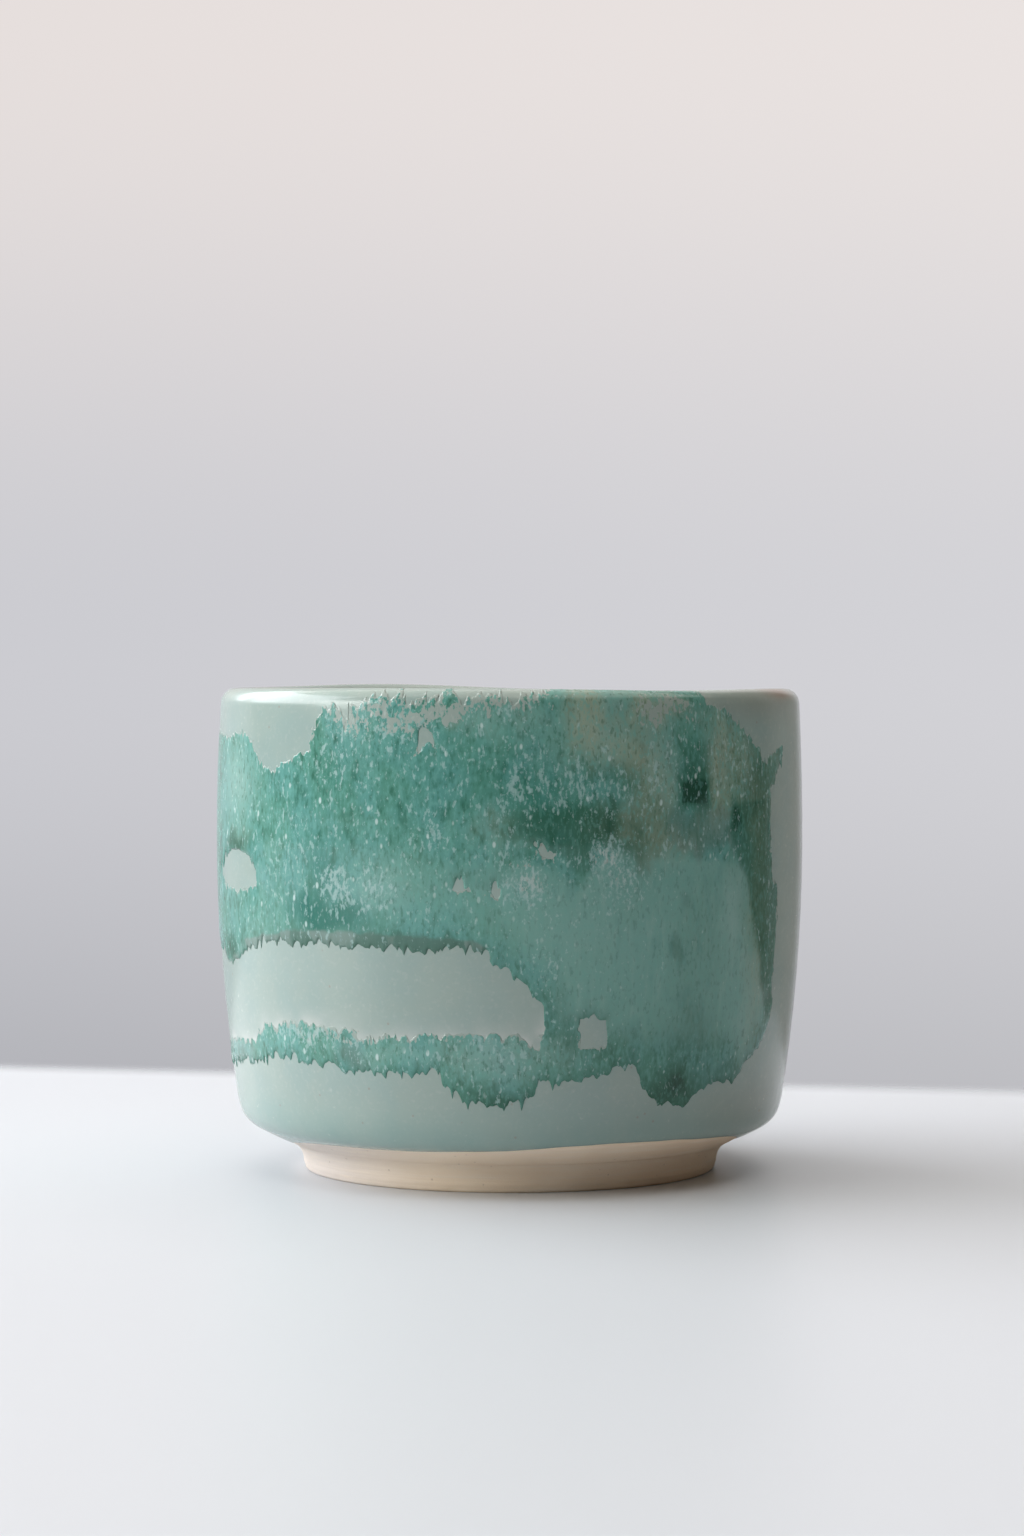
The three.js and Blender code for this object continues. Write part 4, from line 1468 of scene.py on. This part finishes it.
def store_pale_values(mesh, way, degrees, height):
    """The halo above the lower band, the warm break at the rim and the deeper tone low on the wall."""
    around = np.broadcast_to(np.radians(degrees), way.shape) * WALL_RADIUS
    past_lip = way - way_of_lip_top
    out = -depth_inside(around, height, green_loop)
    near = np.exp(-np.maximum(out, 0) / HALO_WIDTH) * (out > -HALO_UNDER)
    level = between(height, *HALO_LEVELS) * (np.abs(degrees - HALO_SPAN[0]) < HALO_SPAN[1])
    halo = near * level * (0.55 + 0.45 * mottle(around, height, 2.0, 2.0, seed=311))
    rim = between(past_lip, *RIM_SPAN)
    warm = 0.15 * rim * ease(mottle(around, height, 13.0, 60.0, seed=313), 0.1, 0.8)
    warm = np.maximum(warm, rim * bump(degrees, *RIM_SPOT))
    blush = bump(degrees, *BLUSH_SPOT)
    warm = np.maximum(warm, 0.3 * blush * ease(past_lip, -BLUSH_BELOW_LIP[0], -BLUSH_BELOW_LIP[1]))
    warm = warm + 0.22 * blush * bump(height, *BLUSH_LEVEL)
    thick = 1 - ease(height, *THICK_LEVELS)
    for key, values in (("halo", halo), ("warm", warm), ("thick", thick)):
        store(mesh, key, values)
    mesh.materials.append(pale_glaze)
    print(mesh.name, len(mesh.polygons), "faces, halo up to %.2f" % halo.max())


print("halo from %.1f to %.1f mm up" % (HALO_LEVELS[0], HALO_LEVELS[-1]))

# %% [markdown]
# The outer coat is a closed ring: its face runs from the glaze line over the lip, and its back returns
# along the clay. The glaze line isn't level, because the cup was dipped by hand, so each column starts
# at its own height. The coat is thin on the bevel, builds up over the heel, and ends in a fine edge at
# the line.

# %% Outer coat
COAT_SIDES = 480
COAT_ROWS = 128
BACK_ROWS = 10
COAT_EDGE = 0.05
BEVEL_COAT = 0.2
EDGE_LEVEL = 5.9
EDGE_BUILD = 1.2
FULL_LEVEL = 9.0
LAP_STEP = 0.0004
ROW_CROWDING = 1.15
LINE_JITTER = 0.05
COAT_SHOWN = (0.03, 0.46)
COAT_HIDDEN = (0.005, 0.1)
GLAZE_LINE_WAVE = [
    (-180, 0.4), (-130, 0.0), (-110, -1.0), (-90, -2.0), (-76, -1.6), (-66, -0.8), (-58, -0.1),
    (-48, 0.35), (-28, 0.4), (-4, 0.75), (12, 1.6), (28, 1.85), (46, 1.4), (60, 0.95), (68, -0.1),
    (76, -1.2), (90, -1.5), (105, -1.2), (120, -0.4), (140, 0.1),
]


def outer_coat_mesh():
    """The pale coat from the glaze line, over the lip, to its lap inside."""
    degrees = np.arange(COAT_SIDES) * 360 / COAT_SIDES - 180
    jitter = mottle(np.radians(degrees) * WALL_RADIUS, 0 * degrees, 4.0, 9.0, seed=301)
    wave = round_table(degrees, GLAZE_LINE_WAVE) + LINE_JITTER * jitter
    start = way_at(EDGE_LEVEL + wave)
    rows = np.append(np.linspace(0, 1, COAT_ROWS - 1)[:-1] ** ROW_CROWDING, [1 - LAP_STEP, 1])
    share = np.concatenate([rows, np.linspace(1, 0, BACK_ROWS)])[:, None]
    way = start + (out_way[-1] - start) * share
    full = BEVEL_COAT + (COAT - BEVEL_COAT) * ease(way, way_at(BEVEL_TOP[1]), way_at(FULL_LEVEL))
    depth = COAT_EDGE + (full - COAT_EDGE) * (1 - np.exp(-(way - start) / EDGE_BUILD))
    depth = depth * np.where(np.arange(len(share)) < COAT_ROWS, 1, 0)[:, None]
    radius, height = lifted(way, depth)
    turn = np.broadcast_to(np.radians(degrees), way.shape)
    places = settle(radius, turn, height)
    return ring_mesh("outer_glaze_dipped", places, way, degrees, height)


def ring_mesh(name, places, way, degrees, height):
    """A mesh of rows that close on themselves both ways, unrolled in two bands of its UV map."""
    rows, columns = places.shape[:2]
    r, c = np.meshgrid(np.arange(rows), np.arange(columns), indexing="ij")
    corner_rows = np.stack([r, r, r + 1, r + 1], axis=-1).reshape(-1, 4)
    corner_columns = np.stack([c, c + 1, c + 1, c], axis=-1).reshape(-1, 4)
    faces = (corner_rows % rows) * columns + corner_columns % columns
    mesh = bpy.data.meshes.new(name)
    mesh.from_pydata(places.reshape(-1, 3).tolist(), [], faces.tolist())
    mesh.polygons.foreach_set("use_smooth", corner_rows[:, 0] != COAT_ROWS - 1)
    half = columns // 2
    band = corner_columns[:, :1] // half % 2
    across = (corner_columns - band * half) / half * (1 - 2 * UV_MARGIN) + UV_MARGIN
    face_along = COAT_SHOWN[0] + corner_rows / COAT_ROWS * COAT_SHOWN[1]
    back_along = COAT_HIDDEN[0] + (rows - corner_rows) / rows * COAT_HIDDEN[1]
    along = np.where(corner_rows[:, :1] < COAT_ROWS - 1, face_along, back_along)
    places_flat = np.stack([across, along + band * 0.5], axis=-1)
    layer = mesh.uv_layers.new(name="OFBake")
    layer.data.foreach_set("uv", places_flat.astype(np.float32).ravel())
    store_pale_values(mesh, way, degrees, height)
    return mesh


coat_mesh = outer_coat_mesh()
show("outer_glaze_dipped", coat_mesh, "outer_glaze")

# %% [markdown]
# The liner is poured in and swirled out, and lies over the whole inside in one even coat. It is a
# turned shape again, from the end of the outer coat's lap down to the middle, closed along the clay.

# %% Liner
LINER = 0.45
LAP_EASE = 6.0
CORNER_STEP = 0.03
FACE_EVERY = 4
HIDDEN_EVERY = 12
LINER_LINES = (0.012, 3.1)

in_normal = facing(inside)
in_normal[-1] = (0, 1)
liner_depth = COAT + (LINER - COAT) * ease(lengths(inside), 0, LAP_EASE)
liner_face = inside + liner_depth[:, None] * in_normal
liner_face[:, 0] = np.maximum(liner_face[:, 0], 0)
liner_face[-1, 0] = 0
near_corner = liner_face[0] - (0, CORNER_STEP)
liner_profile = np.concatenate([
    thinned(liner_face, FACE_EVERY)[:0:-1],
    [near_corner, liner_face[0]],
    thinned(inside, HIDDEN_EVERY),
])
liner_mesh = turn_pot("liner_glaze_poured", liner_profile, LINER_LINES, pale_glaze)
show("liner_glaze_poured", liner_mesh, "liner_glaze")

# %% [markdown]
# ## The stage
# The cup stands on a pale table in front of a pale wall. The table is a real surface that takes the
# light and keeps the cup's shadow. The wall is far behind and only seen, so its soft gradient is given
# straight to camera and mirror rays, and for all other rays it is a plain pale surface.

# %% Floor and backdrop
STAGE_SIDE = 1.5
TABLE_ENDS = (-1.2, 0.3)
TABLE = rgb(0.665, 0.695, 0.745)
TABLE_GRAIN = rgb(0.70, 0.72, 0.76)
TABLE_REACH = 0.1185
TABLE_SLANT = -0.228
TABLE_SOFTNESS = 0.011
WALL_DISTANCE = 0.9
WALL_ENDS = (-0.6, 1.4)
WALL_LIT = rgb(0.7, 0.7, 0.71)
WALL_BRIGHT = rgb(1, 0.98, 0.97)
WALL_BRIGHTENS = (-0.28, 0.35)
WALL_SHADE = rgb(0.30, 0.285, 0.265)
WALL_DARKENS = (0.26, 0.52)
WALL_STOPS = [
    (-0.165, rgb(0.40, 0.405, 0.435)),
    (0.083, rgb(0.60, 0.60, 0.635)),
    (0.332, rgb(0.79, 0.735, 0.72)),
]


def seen_only(stage, color, shader):
    """Mixes a colour for camera, mirror and glass rays with a shader that the light falls on."""
    path = stage.wire.make("ShaderNodeLightPath", out="Is Camera Ray")
    node = path.socket.node
    seen = path
    for name in ("Is Glossy Ray", "Is Transmission Ray"):
        ray = Wire(stage.tree, node.outputs[name])
        seen = seen.math("MAXIMUM", seen, ray)
    glow = stage.wire.make("ShaderNodeEmission", links={"Color": color, "Strength": 1.0})
    return stage.wire.make("ShaderNodeMixShader", links={0: seen, 1: shader, 2: glow})


def wall_color(stage, x, z):
    """The wall's gradient: cool grey at the table, warm white above, shade past the right of the view."""
    low, middle, high = WALL_STOPS
    color = stage.tint(stage.smooth(z, low[0], middle[0]), low[1], middle[1])
    color = stage.tint(stage.smooth(z, middle[0], high[0]), color, high[1])
    color = stage.tint(stage.smooth(x, *WALL_BRIGHTENS) * 0.14, color, WALL_BRIGHT)
    return stage.tint(stage.smooth(x, *WALL_DARKENS), color, WALL_SHADE)


def plane(name, corners):
    """A single square face as a stage object."""
    mesh = bpy.data.meshes.new(name)
    mesh.from_pydata(corners, [], [(0, 1, 2, 3)])
    piece = bpy.data.objects.new(name, mesh)
    bpy.context.scene.collection.objects.link(piece)
    return piece


def backdrop():
    """The pale wall behind the table."""
    side = STAGE_SIDE
    far = WALL_DISTANCE
    low, high = WALL_ENDS
    wall = plane("backdrop", [(-side, far, low), (side, far, low), (side, far, high), (-side, far, high)])
    stage = Finish("backdrop")
    x, z = [stage.along(axis) * MM for axis in "XZ"]
    plain = stage.wire.make("ShaderNodeBsdfDiffuse", links={"Color": WALL_LIT})
    stage.surface(seen_only(stage, wall_color(stage, x, z), plain))
    wall.data.materials.append(stage.material)


def table_top():
    """The pale table, which ends in a soft line behind the cup."""
    side = STAGE_SIDE
    near, far = TABLE_ENDS
    top = plane("floor", [(-side, near, 0), (side, near, 0), (side, far, 0), (-side, far, 0)])
    stage = Finish("floor")
    x, y = [stage.along(axis) * MM for axis in "XY"]
    grain = stage.noise(0.9, detail=3.0)
    stage.plug("Base Color", stage.tint(grain * 0.08, TABLE, TABLE_GRAIN))
    stage.plug("Roughness", 0.42)
    stage.plug("Specular IOR Level", 0.5)
    end_from = TABLE_REACH - TABLE_SOFTNESS
    end_to = TABLE_REACH + TABLE_SOFTNESS
    past = stage.smooth(y - x * TABLE_SLANT, end_from, end_to)
    clear = stage.wire.make("ShaderNodeBsdfTransparent")
    lit = Wire(stage.tree, stage.shader.outputs["BSDF"])
    stage.surface(stage.wire.make("ShaderNodeMixShader", links={0: past, 1: lit, 2: clear}))
    top.data.materials.append(stage.material)


backdrop()
table_top()
print("table ends %.0f mm behind the cup" % (TABLE_REACH / MM))

# %% [markdown]
# ## Light
# A large window stands to the left and a little behind, high enough that the upright wall shows no hard
# reflection of it and only the lip catches it. A narrow pane further back carries the light along the
# lip to its left end. A doorway to the front left carries light round to the middle of the wall, and a
# pale ceiling fills the shadow. The world adds a low even level and, for the camera alone, a pale room
# behind the table.

# %% Lamps
CUP_MIDDLE = (0, 0, 0.035)
CUP_FOOT = (0, 0, 0)
DAYLIGHT = (0.95, 0.965, 1.0)
DOOR_LIGHT = (0.98, 1.0, 0.97)
CEILING_LIGHT = (1.0, 0.95, 0.89)
ROOM_FILL = rgb(0.064, 0.057, 0.047)
ROOM_SEEN = rgb(0.62, 0.62, 0.64)


def lamp(name, place, width, height, power, color, aim=CUP_MIDDLE):
    """A rectangular lamp in metres, aimed at the cup."""
    data = bpy.data.lights.new(name, "AREA")
    data.shape = "RECTANGLE"
    data.size = width
    data.size_y = height
    data.energy = power
    data.color = color
    made = bpy.data.objects.new(name, data)
    made.location = place
    way = made.location - type(made.location)(aim)
    made.rotation_euler = way.to_track_quat("Z", "Y").to_euler()
    made.visible_camera = False
    bpy.context.scene.collection.objects.link(made)


lamp("window", (-1.334, 0.3825, 0.741), 1.5, 0.9, 23.8, DAYLIGHT)
lamp("window_pane", (-0.72, 0.80, 0.578), 0.35, 0.7, 3.4, DAYLIGHT)
lamp("doorway", (-1.3975, -0.594, 0.4725), 0.70, 0.50, 8.3, DOOR_LIGHT)
lamp("ceiling", (-0.10, 0.05, 1.15), 1.8, 1.8, 15.0, CEILING_LIGHT, aim=CUP_FOOT)
world = bpy.data.worlds.new("room_light")
world.use_nodes = True
room = Wire(world.node_tree)
seen = room.make("ShaderNodeLightPath", out="Is Camera Ray")
shades = {"Factor": seen, "A": ROOM_FILL, "B": ROOM_SEEN}
shade = room.make("ShaderNodeMix", {"data_type": "RGBA"}, shades, out="Result")
world.node_tree.links.new(shade.socket, world.node_tree.nodes["Background"].inputs["Color"])
bpy.context.scene.world = world
